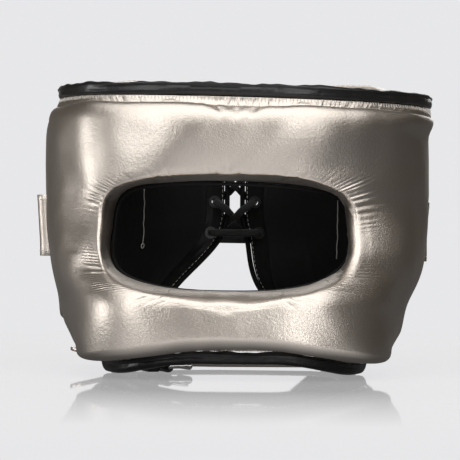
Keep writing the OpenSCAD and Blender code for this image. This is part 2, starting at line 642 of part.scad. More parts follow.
function crown_strand(dir) = concat(
    [[0, wing_eyelet(0), wing_eyelet_z - crown_lace_off - 0.6],
     [dir * wing_eyelet_x, wing_eyelet(0), wing_eyelet_z - crown_lace_off]],
    [for (i = [0 : 1]) each crown_leg(dir * (i % 2 == 0 ? 1 : -1), i, dir)],
    [[dir * wing_eyelet_x, wing_eyelet(2), wing_eyelet_z],
     [dir * wing_eyelet_x, wing_eyelet(2), wing_eyelet_z + crown_lace_off],
     [dir * 3, wing_eyelet(2) + 6, wing_eyelet_z + crown_lace_off]]);
module crown_lace() {
    left = crown_strand(-1);
    right = crown_strand(1);
    color([0.04, 0.04, 0.04])
    union() {
        cord(smooth_path(concat(back_to_front(left), some(right, 1, len(right) - 1)), 3), lace_r, 6);
        translate([0, wing_eyelet(2) + 7, wing_eyelet_z + crown_lace_off]) rotate_extrude()
            polygon([[0, -3], [3.4, -2.6], [5, -1.2], [5, 1.2], [3.4, 2.6], [0, 3]]);
    }
}

// The wrap strap stands off the rear halves. It is sewn at the side, folds back over its seam and
// runs round the back, through the ring and back on itself.
anchor_angle = 133;
fold_start = 116;
ring_angle = 152;
fold_r = (fold_off - 2) / 2;
function strap_stand(th) =
    lerp(fold_off, strap_off, ease((fold_angle(th) - fold_start) / 30));
function strap_half(th) = lerp(strap_h, tongue_h, ease((fold_angle(th) - 142) / 24)) / 2;
// A point of the strap, at height z and off beyond the thickest padding under it
function strap_base(th) = pad_h(th, strap_z + strap_h / 2);
function strap_point(th, off, z) =
    let (p = lay(th, strap_z, strap_base(th) + off)) [p.x, p.y, z];
// Rows of the strap: [angle, distance off the padding]
function fold_rows(dir) = concat(
    [for (th = [anchor_angle : -3.4 : fold_start]) [dir * th, 2]],
    [for (a = [-60 : 30 : 90]) [dir * (fold_start - 2.6 * cos(a)), 2 + fold_r + fold_r * sin(a)]]);
function strap_ring(row, before, after, half, lean) =
    let (p = strap_point(row[0], row[1], strap_z),
         d = unit(strap_point(after[0], after[1], strap_z) - strap_point(before[0], before[1], strap_z)),
         side = [d.y, -d.x, 0] * strap_t / 2,
         tuck = outward(row[0], strap_z) * lean)
    [p + side + [0, 0, half], p + side - tuck / 2, p + side - [0, 0, half] - tuck,
     p - side - [0, 0, half] - tuck, p - side - tuck / 2, p - side + [0, 0, half]];
function strap_rings(rows) = [for (i = [0 : len(rows) - 1])
    let (outer_leg = rows[i][1] > 2.5)
    strap_ring(rows[i], rows[max(i - 1, 0)], rows[min(i + 1, len(rows) - 1)], strap_half(rows[i][0]),
               outer_leg ? 3 * (1 - ease((fold_angle(rows[i][0]) - 128) / 22)) : 0)];
// The ring stands upright on the wrap strap's line
ring_half = 5;
ring_up = outward(ring_angle, strap_z);
ring_turn = atan2(ring_up.y, ring_up.x) + 90;
ring_place = strap_point(ring_angle, strap_off + loop_r, strap_z);
ring_bar_h = tongue_h / 2 + 3;
module at_ring() { translate(ring_place) rotate([0, 0, ring_turn]) children(); }
per_degree = norm(strap_point(ring_angle + 0.5, strap_off, 0) - strap_point(ring_angle - 0.5, strap_off, 0));
post_angle = ring_half / per_degree;
strap_end = 360 - ring_angle - post_angle - 2.2;
module wrap_strap() {
    rows = concat(fold_rows(-1),
        [for (i = [1 : 22]) let (th = lerp(fold_start, strap_end, i / 22)) [-th, strap_stand(th)]]);
    color([0.72, 0.66, 0.61]) loft(strap_rings(rows));
}
module ring_keeper() {
    rows = concat(fold_rows(1),
        [for (i = [1 : 8])
            let (th = lerp(fold_start, ring_angle - post_angle - 2.4, i / 8)) [th, strap_stand(th)]]);
    color([0.72, 0.66, 0.61])
    union() {
        loft(strap_rings(rows));
        at_ring() translate([-ring_half, 0, 0]) difference() {
            union() {
                cylinder(r = loop_r + strap_t / 2, h = tongue_h, center = true);
                translate([-loop_r - 2, loop_r, 0]) cube([2 * loop_r + 4, strap_t, tongue_h], center = true);
            }
            cylinder(r = ring_wire_r + run, h = tongue_h + 2, center = true);
        }
    }
}
// A closed rectangle of wire in the XZ plane, x and z half sizes to the wire's middle
module wire_loop(hx, hz, r) {
    for (s = [-1, 1]) {
        translate([s * hx, 0, 0]) cylinder(r = r, h = 2 * hz, center = true);
        translate([0, 0, s * hz]) rotate([0, 90, 0]) cylinder(r = r, h = 2 * hx, center = true);
        for (u = [-1, 1]) translate([s * hx, 0, u * hz]) sphere(r = r);
    }
}
module closure_ring() {
    color([0.78, 0.78, 0.8]) at_ring() wire_loop(ring_half, ring_bar_h, ring_wire_r);
}
patch_t = (2 * loop_r - strap_t - 3 * 0.15) / 2;
tab_end = 188;
function tab_angles(a, b, n) = [for (i = [0 : n]) lerp(a, b, i / n)];
function band_rings(angles, off, t, half) = [for (th = angles)
    let (i = off - t / 2, o = off + t / 2)
    [strap_point(th, o, strap_z + half), strap_point(th, o, strap_z - half),
     strap_point(th, i, strap_z - half), strap_point(th, i, strap_z + half)]];
tab_off = strap_off + 2 * loop_r;
loop_off = strap_off + strap_t / 2 + 0.15 + patch_t / 2;
hook_off = tab_off - strap_t / 2 - 0.15 - patch_t / 2;
module loop_patch() {
    color([0.12, 0.12, 0.12])
    loft(band_rings(tab_angles(ring_angle + 6.5, tab_end + 6, 12), loop_off, patch_t, tongue_h / 2 - 2));
}
module hook_patch() {
    color([0.14, 0.14, 0.14])
    loft(band_rings(tab_angles(ring_angle + 6.5, tab_end - 3, 11), hook_off, patch_t, tongue_h / 2 - 2));
}
module closure_tab() {
    color([0.72, 0.66, 0.61])
    union() {
        loft(band_rings(tab_angles(ring_angle + post_angle + 1 / per_degree, tab_end, 12),
                        tab_off, strap_t, tongue_h / 2));
        at_ring() translate([ring_half, 0, 0]) difference() {
            cylinder(r = loop_r + strap_t / 2 + 0.2, h = tongue_h - 1, center = true);
            cylinder(r = ring_wire_r + run, h = tongue_h + 2, center = true);
        }
    }
}

// Chin strap, open: the tongue strap hangs from a stud in the right wall and its tip lies out under
// the left wall. The buckle strap hangs from a stud in the left jaw with the buckle at its end.
tongue_y = ear_y - 6;
// Shift of the right stud beyond the wall's curve, to the binding that it stands on
tongue_seat = 0.8;
tongue_x = mold(90, stud_z).x + tongue_seat;
buckle_th = -47;
buckle_seat = mold(buckle_th, stud_z);
buckle_in = -outward(buckle_th, stud_z);
buckle_turn = atan2(buckle_in.y, buckle_in.x);
flange_t = 1.2;
stud_gap = 1.5;
strap_in = stud_gap + flange_t + gap + chin_t / 2;
low_run = 0.9 + chin_t / 2;
module at_buckle() { translate([buckle_seat.x, buckle_seat.y, 0]) rotate([0, 0, buckle_turn]) children(); }
module at_tongue() { translate([tongue_x, tongue_y, 0]) rotate([0, 0, 180]) children(); }
// A stud with its flange on the wall at x = 0, pointing along +X
module stud() {
    translate([stud_gap, 0, stud_z]) rotate([0, 90, 0]) {
        cylinder(r = 4.6, h = flange_t);
        cylinder(r = stud_r, h = strap_in + chin_t);
        translate([0, 0, strap_in + chin_t / 2 + 0.2]) cylinder(r1 = 4.6, r2 = 3.4, h = 1.6);
    }
}
module chin_studs() {
    color([0.78, 0.78, 0.8]) {
        at_buckle() stud();
        at_tongue() stud();
    }
}
// Leather in the XZ plane of the local frame, w wide in Y
module leather_run(path, t, w) {
    rotate([90, 0, 0]) linear_extrude(w, center = true) polygon(ribbon(path, t));
}
module stud_end(w) {
    translate([strap_in - chin_t / 2, 0, stud_z]) rotate([0, 90, 0]) cylinder(r = w / 2, h = chin_t);
}
module stud_hole() {
    translate([-5, 0, stud_z]) rotate([0, 90, 0]) cylinder(r = stud_r + run, h = 20);
}
tongue_tip = tongue_x + 108;
tongue_path = smooth_path([[strap_in, stud_z], [strap_in, 15], [6.5, 8.5], [13, 4.6], [26, low_run + 0.4],
    [60, low_run], [100, low_run], [130, low_run + 0.6], [150, low_run + 2], [166, low_run + 4.6],
    [tongue_tip, low_run + 10]], 4);
hole_count = 5;
module tongue_strap() {
    color([0.70, 0.64, 0.59])
    at_tongue() difference() {
        intersection() {
            union() {
                leather_run(tongue_path, chin_t, chin_w);
                stud_end(chin_w);
            }
            translate([0, 0, -1]) linear_extrude(60) union() {
                translate([0, -chin_w / 2]) square([tongue_tip - chin_w / 2, chin_w]);
                translate([tongue_tip - chin_w / 2, 0]) circle(r = chin_w / 2);
            }
        }
        stud_hole();
        for (i = [0 : hole_count - 1]) translate([86 + 13 * i, 0, -1]) cylinder(r = 1.9, h = 12);
    }
}
bar_x = 30;
bar_z = roller_r + 1.4;
buckle_len = 14;
buckle_loop = buckle_wire_r + run + chin_t;
buckle_path = smooth_path([[strap_in, stud_z], [strap_in, 15], [5.6, 9], [11, 5.2],
    [18, bar_z], [bar_x - 2.2, bar_z]], 4);
module buckle_strap() {
    color([0.06, 0.06, 0.06])
    at_buckle() difference() {
        union() {
            leather_run(buckle_path, chin_t, chin_w);
            stud_end(chin_w);
            translate([bar_x, 0, bar_z]) rotate([90, 0, 0])
                cylinder(r = buckle_loop, h = chin_w, center = true);
        }
        stud_hole();
        translate([bar_x, 0, bar_z]) rotate([90, 0, 0])
            cylinder(r = buckle_wire_r + run, h = chin_w + 2, center = true);
        translate([bar_x + 0.5, 0, bar_z]) cube([2 * buckle_loop + 2, 4.4, 4 * buckle_loop], center = true);
    }
}
module strap_keeper() {
    at = 19.5;
    color([0.06, 0.06, 0.06])
    at_buckle() translate([at, 0, bar_z]) difference() {
        cube([7, chin_w + 4.4, chin_t + 4.2], center = true);
        cube([8, chin_w + 0.8, chin_t + 0.9], center = true);
    }
}
module at_bar() { at_buckle() translate([bar_x, 0, bar_z]) children(); }
frame_half = chin_w / 2 + 2.6;
module buckle_frame() {
    color([0.78, 0.78, 0.8]) at_bar() translate([buckle_len / 2, 0, 0]) rotate([90, 0, 0])
        wire_loop(buckle_len / 2, frame_half, buckle_wire_r);
}
module buckle_roller() {
    color([0.85, 0.85, 0.86]) at_bar() translate([buckle_len, 0, 0]) rotate([90, 0, 0]) difference() {
        cylinder(r = roller_r, h = 2 * frame_half - 5, center = true);
        cylinder(r = buckle_wire_r + run, h = 2 * frame_half, center = true);
    }
}
prong_r = 0.95;
module buckle_prong() {
    knuckle = buckle_wire_r + run + 1.2;
    rise = roller_r + prong_r + 0.25;
    reach = buckle_len + 2;
    lift = rise - (knuckle - prong_r);
    slope = atan2(lift, buckle_len);
    color([0.78, 0.78, 0.8]) at_bar() difference() {
        union() {
            rotate([90, 0, 0]) cylinder(r = knuckle, h = 3.4, center = true);
            translate([0, 0, knuckle - prong_r]) rotate([0, 90 - slope, 0]) {
                cylinder(r = prong_r, h = reach / cos(slope));
                translate([0, 0, reach / cos(slope)]) sphere(r = prong_r);
            }
        }
        rotate([90, 0, 0]) cylinder(r = buckle_wire_r + run, h = 6, center = true);
    }
}

face_cover();
mask_foam(top_start + 1, left_start - 2);  // forehead_foam
mask_foam(left_start - 2, bar_first);  // cheek_foam_left
mask_foam(bar_last - spoke_count, top_start + 1);  // cheek_foam_right
bar_foam_front();
bar_foam_back();
bar_stiffener();
face_lining();
window_piping();
top_binding();
bottom_binding();
top_gusset();
ear_sleeve(-1);  // ear_sleeve_left
ear_sleeve(1);  // ear_sleeve_right
rear_cover(-1);  // rear_cover_left
rear_cover(1);  // rear_cover_right
rear_foam(-1);  // rear_foam_left
rear_foam(1);  // rear_foam_right
rear_lining(-1);  // rear_lining_left
rear_lining(1);  // rear_lining_right
lace_strip(-1);  // lace_strip_left
lace_strip(1);  // lace_strip_right
rear_edge(-1);  // rear_edge_left
rear_edge(1);  // rear_edge_right
rear_eyelets();
rear_lace();
crown_wing(-1);  // crown_wing_left
crown_wing(1);  // crown_wing_right
crown_eyelets();
crown_lace();
wrap_strap();
ring_keeper();
closure_ring();
loop_patch();
closure_tab();
hook_patch();
chin_studs();
tongue_strap();
buckle_strap();
strap_keeper();
buckle_frame();
buckle_prong();
buckle_roller();
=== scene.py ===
import math
from functools import lru_cache

import bmesh
import bpy
import numpy as np
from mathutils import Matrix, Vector, noise
from mathutils.bvhtree import BVHTree


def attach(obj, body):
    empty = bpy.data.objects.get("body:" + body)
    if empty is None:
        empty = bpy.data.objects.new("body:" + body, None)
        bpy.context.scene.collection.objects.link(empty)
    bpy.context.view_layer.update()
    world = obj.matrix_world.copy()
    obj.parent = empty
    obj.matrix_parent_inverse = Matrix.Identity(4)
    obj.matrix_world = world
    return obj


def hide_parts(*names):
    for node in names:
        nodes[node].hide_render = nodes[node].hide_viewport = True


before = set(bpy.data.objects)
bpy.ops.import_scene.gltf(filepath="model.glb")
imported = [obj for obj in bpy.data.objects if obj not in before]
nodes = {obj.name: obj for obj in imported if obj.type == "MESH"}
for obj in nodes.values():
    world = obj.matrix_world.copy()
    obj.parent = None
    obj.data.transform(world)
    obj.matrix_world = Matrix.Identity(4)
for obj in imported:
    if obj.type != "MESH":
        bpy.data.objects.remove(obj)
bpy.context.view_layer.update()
for o in bpy.context.selected_objects:
    o.select_set(False)

# Sizes of the solid model, in millimetres and degrees
CAVITY_W, JAW_W = 84, 79
BROW_REACH, BAR_REACH, REAR_REACH, NAPE_REACH = 74, 106, 112, 105
RIM_TOP, REAR_DROP, BAR_TOP, WINDOW_TOP = 182, 12, 53, 122
CHIN_ARCH, EAR_ARCH = 8, 18
WINDOW_HALF, WINDOW_SKEW, WINDOW_SQUARE, WINDOW_ROUND, WINDOW_TAPER = 57.2, 9, 2.74, 2.67, 0.28
FRONT_PAD, SIDE_PAD, REAR_PAD, JAW_SHARE = 39, 43, 24, 0.6
BAR_ROLL, JAW_ROLL, BROW_ROLL, CORNER_ROLL, SEAM_ROLL = 7, 12.5, 14, 18, 24
LINING_T, RIM_H, RIM_W, BOTTOM_END, SEAM_END = 2, 8, 6, 7, 16
EAR_Z, EAR_HALF_H, EAR_HALF_ANGLE = 95, 22, 11
STRIP_ANGLE, STRIP_EDGE, STRIP_SPREAD, SPREAD_Z = 7, 3.4, 37, 104
STRAP_OFF, STRAP_T, STRAP_Z, STRAP_H, TONGUE_H = 4.4, 2.2, 92, 41, 21
GAP, SEAM, FLANGE, LINING_DROP = 0.35, 100, 6, 6
# Spokes of the mask at a side seam and along a rim, and columns of a rear half; where the mask's parts start
SIDE_SPOKES, EDGE_SPOKES, REAR_SPOKES = 13, 18, 7
TOP_START, LEFT_START, LOW_START = SIDE_SPOKES, SIDE_SPOKES + EDGE_SPOKES, 2 * SIDE_SPOKES + EDGE_SPOKES
# Height of the padding's back over the cavity, and squareness of the leather's turn into the window
BACK_H, LIP_SQUARE = 3.05, 0.6
# How far the rims' bindings stand out past the cover's edge
BINDING_OUT = 1.4
# One millimetre in metres
MM = 0.001
EAR_Y = (BAR_REACH + FRONT_PAD - REAR_REACH - REAR_PAD - STRAP_OFF - 6.9) / 2
WINDOW_MID = (BAR_TOP + WINDOW_TOP) / 2
WINDOW_RISE = (WINDOW_TOP - BAR_TOP) / 2


# The shape of the head cavity and of the padding over it
def sin(a):
    return math.sin(math.radians(a))


def cos(a):
    return math.cos(math.radians(a))


def lerp(a, b, t):
    return a + (b - a) * t


def ease(t):
    c = min(1, max(0, t))
    return c * c * (3 - 2 * c)


def spow(x, p):
    return math.copysign(abs(x) ** p, x)


def fold_angle(th):
    a = abs(th) % 360
    return 360 - a if a > 180 else a


def cavity(th, z):
    brow = ease((z - BAR_TOP + 8) / (WINDOW_TOP - BAR_TOP))
    front = cos(th) > 0
    reach = lerp(BAR_REACH, BROW_REACH, brow) if front else lerp(NAPE_REACH, REAR_REACH, ease(z / 90))
    n = lerp(3, 2.4, brow) if front else 2.3
    half = lerp(JAW_W, CAVITY_W, ease(z / 60))
    r = ((abs(sin(th)) / half) ** n + (abs(cos(th)) / reach) ** n) ** (-1 / n)
    return r * sin(th), EAR_Y - r * cos(th)


def lay(th, z, h):
    """The point h outside the lining, at angle th round the head and height z."""
    x, y = cavity(th, z)
    ax, ay = cavity(th + 1, z)
    bx, by = cavity(th - 1, z)
    dx, dy = ax - bx, ay - by
    l = math.hypot(dx, dy)
    return x + h * dy / l, y - h * dx / l, z


def bottom_z(th):
    a = fold_angle(th)
    return CHIN_ARCH * (1 - ease((a - 12) / 32)) + EAR_ARCH * (ease((a - 52) / 30) - ease((a - 100) / 26))


def top_z(th):
    return RIM_TOP - REAR_DROP * ease((fold_angle(th) - 95) / 65)


def pad_h(th, z):
    a = fold_angle(th)
    if a < 95:
        h = lerp(FRONT_PAD, SIDE_PAD, ease(a / 80))
    else:
        h = lerp(SIDE_PAD, REAR_PAD, ease((a - 106) / 46))
    return h * lerp(1, lerp(JAW_SHARE, 1, ease((z - 10) / 100)), ease((a - 25) / 30))


def rim_off(th):
    return pad_h(th, top_z(th)) - 5


def cover_low(th):
    return bottom_z(th) + RIM_H + GAP


def cover_high(th):
    return top_z(th) - RIM_H - GAP


SEAM_LOW, SEAM_HIGH = cover_low(SEAM), cover_high(SEAM)


def row_z(j, low, high):
    if j < 3:
        return lerp(low, EAR_Z - EAR_HALF_H, j / 3)
    if j <= 9:
        return EAR_Z - EAR_HALF_H * cos(30 * (j - 3))
    return lerp(EAR_Z + EAR_HALF_H, high, (j - 9) / 4)


def ear_notch(z):
    return EAR_HALF_ANGLE * math.sqrt(max(0, 1 - ((z - EAR_Z) / EAR_HALF_H) ** 2))


def seam_end_h(z):
    low = lerp(BOTTOM_END, SEAM_END, ease((z - SEAM_LOW) / 30))
    return lerp(low, rim_off(SEAM), ease((z - SEAM_HIGH + 30) / 30))


def spoke(i):
    """From the window's seam to the mask's edge: angle round the window, edge angle, edge height,
    end thickness, share of the lining's drop, length of the outer roll."""
    i %= 2 * (SIDE_SPOKES + EDGE_SPOKES)
    if i < TOP_START or LEFT_START <= i < LOW_START:
        right = i < TOP_START
        j = i if right else LOW_START - i
        up, z = -45 + 90 * j / SIDE_SPOKES, row_z(j, SEAM_LOW, SEAM_HIGH)
        k = ease((z - SEAM_HIGH + 36) / 36)
        th = SEAM - ear_notch(z)
        return (up if right else 180 - up), (th if right else -th), z, seam_end_h(z), k, lerp(SEAM_ROLL, BROW_ROLL, k)
    if i < LEFT_START:
        j = i - TOP_START
        th = lerp(SEAM, -SEAM, j / EDGE_SPOKES)
        return 45 + 5 * j, th, cover_high(th), rim_off(th), 1, BROW_ROLL
    j = i - LOW_START
    th = lerp(-SEAM, SEAM, j / EDGE_SPOKES)
    roll = lerp(CORNER_ROLL, lerp(BAR_ROLL, JAW_ROLL, ease((abs(th) - 35) / 30)), ease(min(j, EDGE_SPOKES - j)))
    return 225 + 5 * j, th, cover_low(th), BOTTOM_END, 0, roll


def window_power(phi):
    return 2 / (WINDOW_SQUARE if sin(phi) > 0 else WINDOW_ROUND)


def window_angle(phi, inset=0.0):
    return (WINDOW_HALF - inset) * spow(cos(phi), window_power(phi)) * (1 + WINDOW_TAPER * sin(phi))


def window_height(phi, inset=0.0):
    return WINDOW_MID + (WINDOW_RISE - inset) * spow(sin(phi), window_power(phi))


def skewed(th, h):
    return th * (1 - WINDOW_SKEW * h / FRONT_PAD / WINDOW_HALF)


def window_roll(phi):
    """Width of the leather's turn into the window: 5 mm at the brow, 6 at the sides, 9 over the bar."""
    return 9.0 - 4.0 * max(0, sin(phi)) - 3.0 * abs(cos(phi))


@lru_cache(maxsize=4096)
def window_wall(phi):
    """The angle at which the window's wall, which runs straight back, is 0, 20 and 40 mm outside the lining."""
    th, z = window_angle(phi), window_height(phi)
    x = abs(lay(skewed(th, 2), z, 2)[0])
    out = []
    for h in (0, 20, 40):
        low, high = 0.0, 80.0
        for _ in range(18):
            mid = (low + high) / 2
            if lay(mid, z, h)[0] < x:
                low = mid
            else:
                high = mid
        out.append(math.copysign((low + high) / 2, th))
    return out


def wall_angle(phi, h):
    a, b, c = window_wall(phi)
    t = h / 20
    return a + (b - a) * t + (c - 2 * b + a) * t * (t - 1) / 2


def mask_point(s, share, h, drop):
    th = lerp(wall_angle(s[0], h), s[1], share)
    return lay(th, lerp(window_height(s[0]), s[2] - drop * s[4], share), h)


def mask_section(s, rows):
    """The outer side of the mask along one spoke: rows in the inner roll, the middle, the outer roll and the flange."""
    a = lay(wall_angle(s[0], FRONT_PAD), window_height(s[0]), FRONT_PAD / 2)
    b = lay(s[1], s[2], FRONT_PAD / 2)
    length = math.dist(a, b)
    flange = lerp(FLANGE - 2.5, FLANGE + 8 * ease((abs(s[1]) - 45) / 45), s[4])
    flat_end = 1 - min(flange, length / 6) / length
    room = 0.47 * flat_end
    roll_in = min(window_roll(s[0]) / length, room)
    roll_out = flat_end - min(s[5] / length, room)
    marks = []
    for k in range(rows[0]):
        a = 90 * k / rows[0]
        marks.append((lerp(0, roll_in, 1 - spow(cos(a), LIP_SQUARE)), spow(sin(a), LIP_SQUARE), 0))
    marks += [(lerp(roll_in, roll_out, k / rows[1]), 1, 0) for k in range(rows[1])]
    for k in range(rows[2]):
        a = 90 * k / rows[2]
        marks.append((lerp(roll_out, flat_end, sin(a)), cos(a), 1 - cos(a)))
    marks += [(lerp(flat_end, 1, k / rows[3]), 0, 1) for k in range(rows[3] + 1)]
    path = []
    for share, full, end in marks:
        th, z = lerp(window_angle(s[0]), s[1], share), lerp(window_height(s[0]), s[2], share)
        h = pad_h(th, z)
        h = full * h + end * s[3] if end > 0 else lerp(LINING_T + GAP + 1.5, h, full)
        path.append(mask_point(s, share, h, 0))
    return path


def strip_free(z):
    return 180 - STRIP_EDGE - STRIP_SPREAD * max(0, (SPREAD_Z - z) / SPREAD_Z) ** 1.7


def rear_angle(c, j):
    z = row_z(j, SEAM_LOW, SEAM_HIGH)
    sewn = strip_free(row_z(j, cover_low(160), cover_high(160))) - STRIP_ANGLE
    return lerp(SEAM + ear_notch(z) + GAP, sewn - 0.2, c / REAR_SPOKES)


def edge_roll(d, r):
    t = min(1, max(0, d / r))
    return math.sqrt(1 - (1 - t) ** 2)


def rear_outer(side, c, j):
    a = rear_angle(c, j)
    z = row_z(j, cover_low(a), cover_high(a))
    h = pad_h(a, z)
    h = min(lerp(seam_end_h(z), h, edge_roll((a - rear_angle(0, j)) * 1.7, SEAM_ROLL)),
            lerp(8.8, h, edge_roll((rear_angle(REAR_SPOKES, j) - a) * 1.9, JAW_ROLL)),
            lerp(BOTTOM_END, h, edge_roll(z - cover_low(a), JAW_ROLL)),
            lerp(rim_off(a), h, edge_roll(cover_high(a) - z, BROW_ROLL)))
    drop = LINING_DROP * max(0, 1 - h / rim_off(a))
    return lay(side * a, row_z(j, cover_low(a), cover_high(a) - drop), max(h, 3.6))


def rear_level(side, c, j, h):
    a = rear_angle(c, j)
    return lay(side * a, row_z(j, cover_low(a), cover_high(a) - LINING_DROP), h)


# Meshes from rings of points
def grid_normals(p, closed):
    """Unit normals of a grid of points (columns, rows, 3), which closes in its columns where closed is true."""
    du = (np.roll(p, -1, 0) - np.roll(p, 1, 0)) if closed else np.gradient(p, axis=0)
    dv = np.gradient(p, axis=1)
    n = np.cross(du, dv)
    return n / np.maximum(np.linalg.norm(n, axis=2, keepdims=True), 1e-9)


def outward_normals(p, closed):
    """The normals of a grid round the head, turned away from its axis."""
    n = grid_normals(p, closed)
    middle = (slice(None) if closed else p.shape[0] // 2, p.shape[1] // 2)
    return -n if (n[middle] * (p[middle] * [1, 1, 0])).sum() < 0 else n


def grid_object(name, p, closed_u, closed_v, cap=False):
    """A smooth mesh through a grid of points in millimetres, with its lengths as UV in metres."""
    p = np.asarray(p, float) * MM
    nu, nv = p.shape[:2]
    u_len = np.linalg.norm(np.roll(p, -1, 0) - p, axis=2).mean(1)
    v_len = np.linalg.norm(np.roll(p, -1, 1) - p, axis=2).mean(0)
    u = np.concatenate([[0], np.cumsum(u_len)])
    v = np.concatenate([[0], np.cumsum(v_len)])
    ku, kv = nu if closed_u else nu - 1, nv if closed_v else nv - 1
    i, j = np.meshgrid(np.arange(ku), np.arange(kv), indexing="ij")
    i1, j1 = (i + 1) % nu, (j + 1) % nv
    quads = np.stack([i * nv + j, i1 * nv + j, i1 * nv + j1, i * nv + j1], -1).reshape(-1, 4)
    uv = np.stack([
        np.stack([u[i], v[j]], -1), np.stack([u[i + 1], v[j]], -1),
        np.stack([u[i + 1], v[j + 1]], -1), np.stack([u[i], v[j + 1]], -1)], 2).reshape(-1, 2)
    faces = quads.tolist()
    if cap:
        faces += [list(range(nv))[::-1], list(range((nu - 1) * nv, nu * nv))]
        uv = np.concatenate([uv, np.zeros((2 * nv, 2))])
    mesh = bpy.data.meshes.new(name)
    mesh.from_pydata(p.reshape(-1, 3).tolist(), [], faces)
    layer = mesh.uv_layers.new(name="leather")
    layer.data.foreach_set("uv", uv.astype(np.float32).ravel())
    mesh.polygons.foreach_set("use_smooth", [True] * len(mesh.polygons))
    obj = bpy.data.objects.new(name, mesh)
    bpy.context.scene.collection.objects.link(obj)
    outside(obj)
    return obj


def outside(obj):
    """Turns a closed mesh's faces outwards."""
    bm = bmesh.new()
    bm.from_mesh(obj.data)
    if bm.calc_volume(signed=True) < 0:
        bmesh.ops.reverse_faces(bm, faces=bm.faces)
    bm.to_mesh(obj.data)
    bm.free()


def use(obj):
    bpy.ops.object.select_all(action="DESELECT")
    obj.select_set(True)
    bpy.context.view_layer.objects.active = obj


def merged(obj, then=None):
    """Merges a mesh's doubles, and does one more step in edit mode where one is given."""
    use(obj)
    bpy.ops.object.mode_set(mode="EDIT")
    bpy.ops.mesh.select_all(action="SELECT")
    bpy.ops.mesh.remove_doubles(threshold=1e-6)
    if then:
        bpy.ops.mesh.select_all(action="SELECT")
        then()
    bpy.ops.object.mode_set(mode="OBJECT")


def softened(p, passes, closed):
    """A grid of vectors with its columns and rows smoothed a little."""
    for _ in range(passes):
        left = np.roll(p, 1, 0) if closed else np.concatenate([p[:1], p[:-1]])
        right = np.roll(p, -1, 0) if closed else np.concatenate([p[1:], p[-1:]])
        p = 0.5 * p + 0.25 * (left + right)
        up = np.concatenate([p[:, :1], p[:, :-1]], 1)
        down = np.concatenate([p[:, 1:], p[:, -1:]], 1)
        p = 0.5 * p + 0.25 * (up + down)
    return p


def wander(a, b, c):
    """Smooth noise at a place in noise space."""
    return noise.noise(Vector((a, b, c)))


def wave_noise(p, scale, seed):
    """Smooth noise at each point of a grid, with bumps of about scale millimetres."""
    flat = p.reshape(-1, 3) / scale + seed
    return np.array([noise.noise(Vector(q)) for q in flat]).reshape(p.shape[:2])


def filled_with_air(p, outer_rows, closed, slack, cap):
    """The way that a padded skin moves when it is filled: simulated on every second point, held at its seams."""
    rows = keep_rows(p.shape[1], outer_rows)
    coarse = p[::2, :][:, rows]
    body = grid_object("filling", coarse, closed, True, cap=not closed)
    held = body.vertex_groups.new(name="held")
    nu, nv = coarse.shape[:2]
    for k, row in enumerate(rows):
        edge = min(k, sum(r < outer_rows for r in rows) - 1 - k)
        weight = 1.0 if row >= outer_rows or edge < 1 else 0.35 if edge < 2 else 0.0
        if weight:
            held.add([c * nv + k for c in range(nu)], weight, "REPLACE")
    if not closed:
        held.add([k for k in range(nv)] + [(nu - 1) * nv + k for k in range(nv)], 1.0, "REPLACE")
    use(body)
    cloth = body.modifiers.new("fill", "CLOTH")
    s = cloth.settings
    s.quality = 4
    s.mass = 0.4
    s.tension_stiffness = s.compression_stiffness = 25
    s.shear_stiffness = 12
    s.bending_stiffness = 0.6
    s.use_pressure = True
    s.uniform_pressure_force = 4
    s.shrink_min = -slack
    s.vertex_group_mass = "held"
    s.effector_weights.gravity = 0
    cloth.collision_settings.use_collision = False
    scene = bpy.context.scene
    cloth.point_cache.frame_end = 20
    for f in range(1, 21):
        scene.frame_set(f)
    moved = body.evaluated_get(bpy.context.evaluated_depsgraph_get()).to_mesh()
    co = np.zeros(len(moved.vertices) * 3, np.float32)
    moved.vertices.foreach_get("co", co)
    shift = co.reshape(nu, nv, 3) * 1000.0 - coarse
    scene.frame_set(1)
    bpy.data.objects.remove(body, do_unlink=True)
    size = np.linalg.norm(shift, axis=2, keepdims=True)
    shift *= np.minimum(1, cap / np.maximum(size, 1e-6))
    full = np.zeros_like(p)
    for axis in range(3):
        by_row = np.stack([np.interp(np.arange(p.shape[1]), rows, shift[c, :, axis]) for c in range(nu)])
        at = np.arange(p.shape[0]) / 2
        if closed:
            by_row = np.concatenate([by_row, by_row[:1]])
        full[:, :, axis] = np.stack([np.interp(at, np.arange(len(by_row)), by_row[:, r]) for r in range(p.shape[1])], 1)
    return softened(full, 2, closed)


def keep_rows(count, outer_rows):
    return [r for r in range(count) if r % 2 == 0 or r >= outer_rows - 1]


# Materials
class Value:
    """A shader socket that adds Math nodes when it is used in an expression."""

    def __init__(self, tree, socket):
        self.tree, self.socket = tree, socket

    def math(self, operation, a, b=None):
        node = self.tree.nodes.new("ShaderNodeMath")
        node.operation = operation
        for k, x in enumerate([a] if b is None else [a, b]):
            if isinstance(x, Value):
                self.tree.links.new(x.socket, node.inputs[k])
            else:
                node.inputs[k].default_value = x
        return Value(self.tree, node.outputs[0])

    def __add__(self, x): return self.math("ADD", self, x)
    def __radd__(self, x): return self.math("ADD", x, self)
    def __sub__(self, x): return self.math("SUBTRACT", self, x)
    def __rsub__(self, x): return self.math("SUBTRACT", x, self)
    def __mul__(self, x): return self.math("MULTIPLY", self, x)
    def __rmul__(self, x): return self.math("MULTIPLY", x, self)
    def clamped(self): return self.math("MINIMUM", self.math("MAXIMUM", self, 0.0), 1.0)
    def absolute(self): return self.math("ABSOLUTE", self)


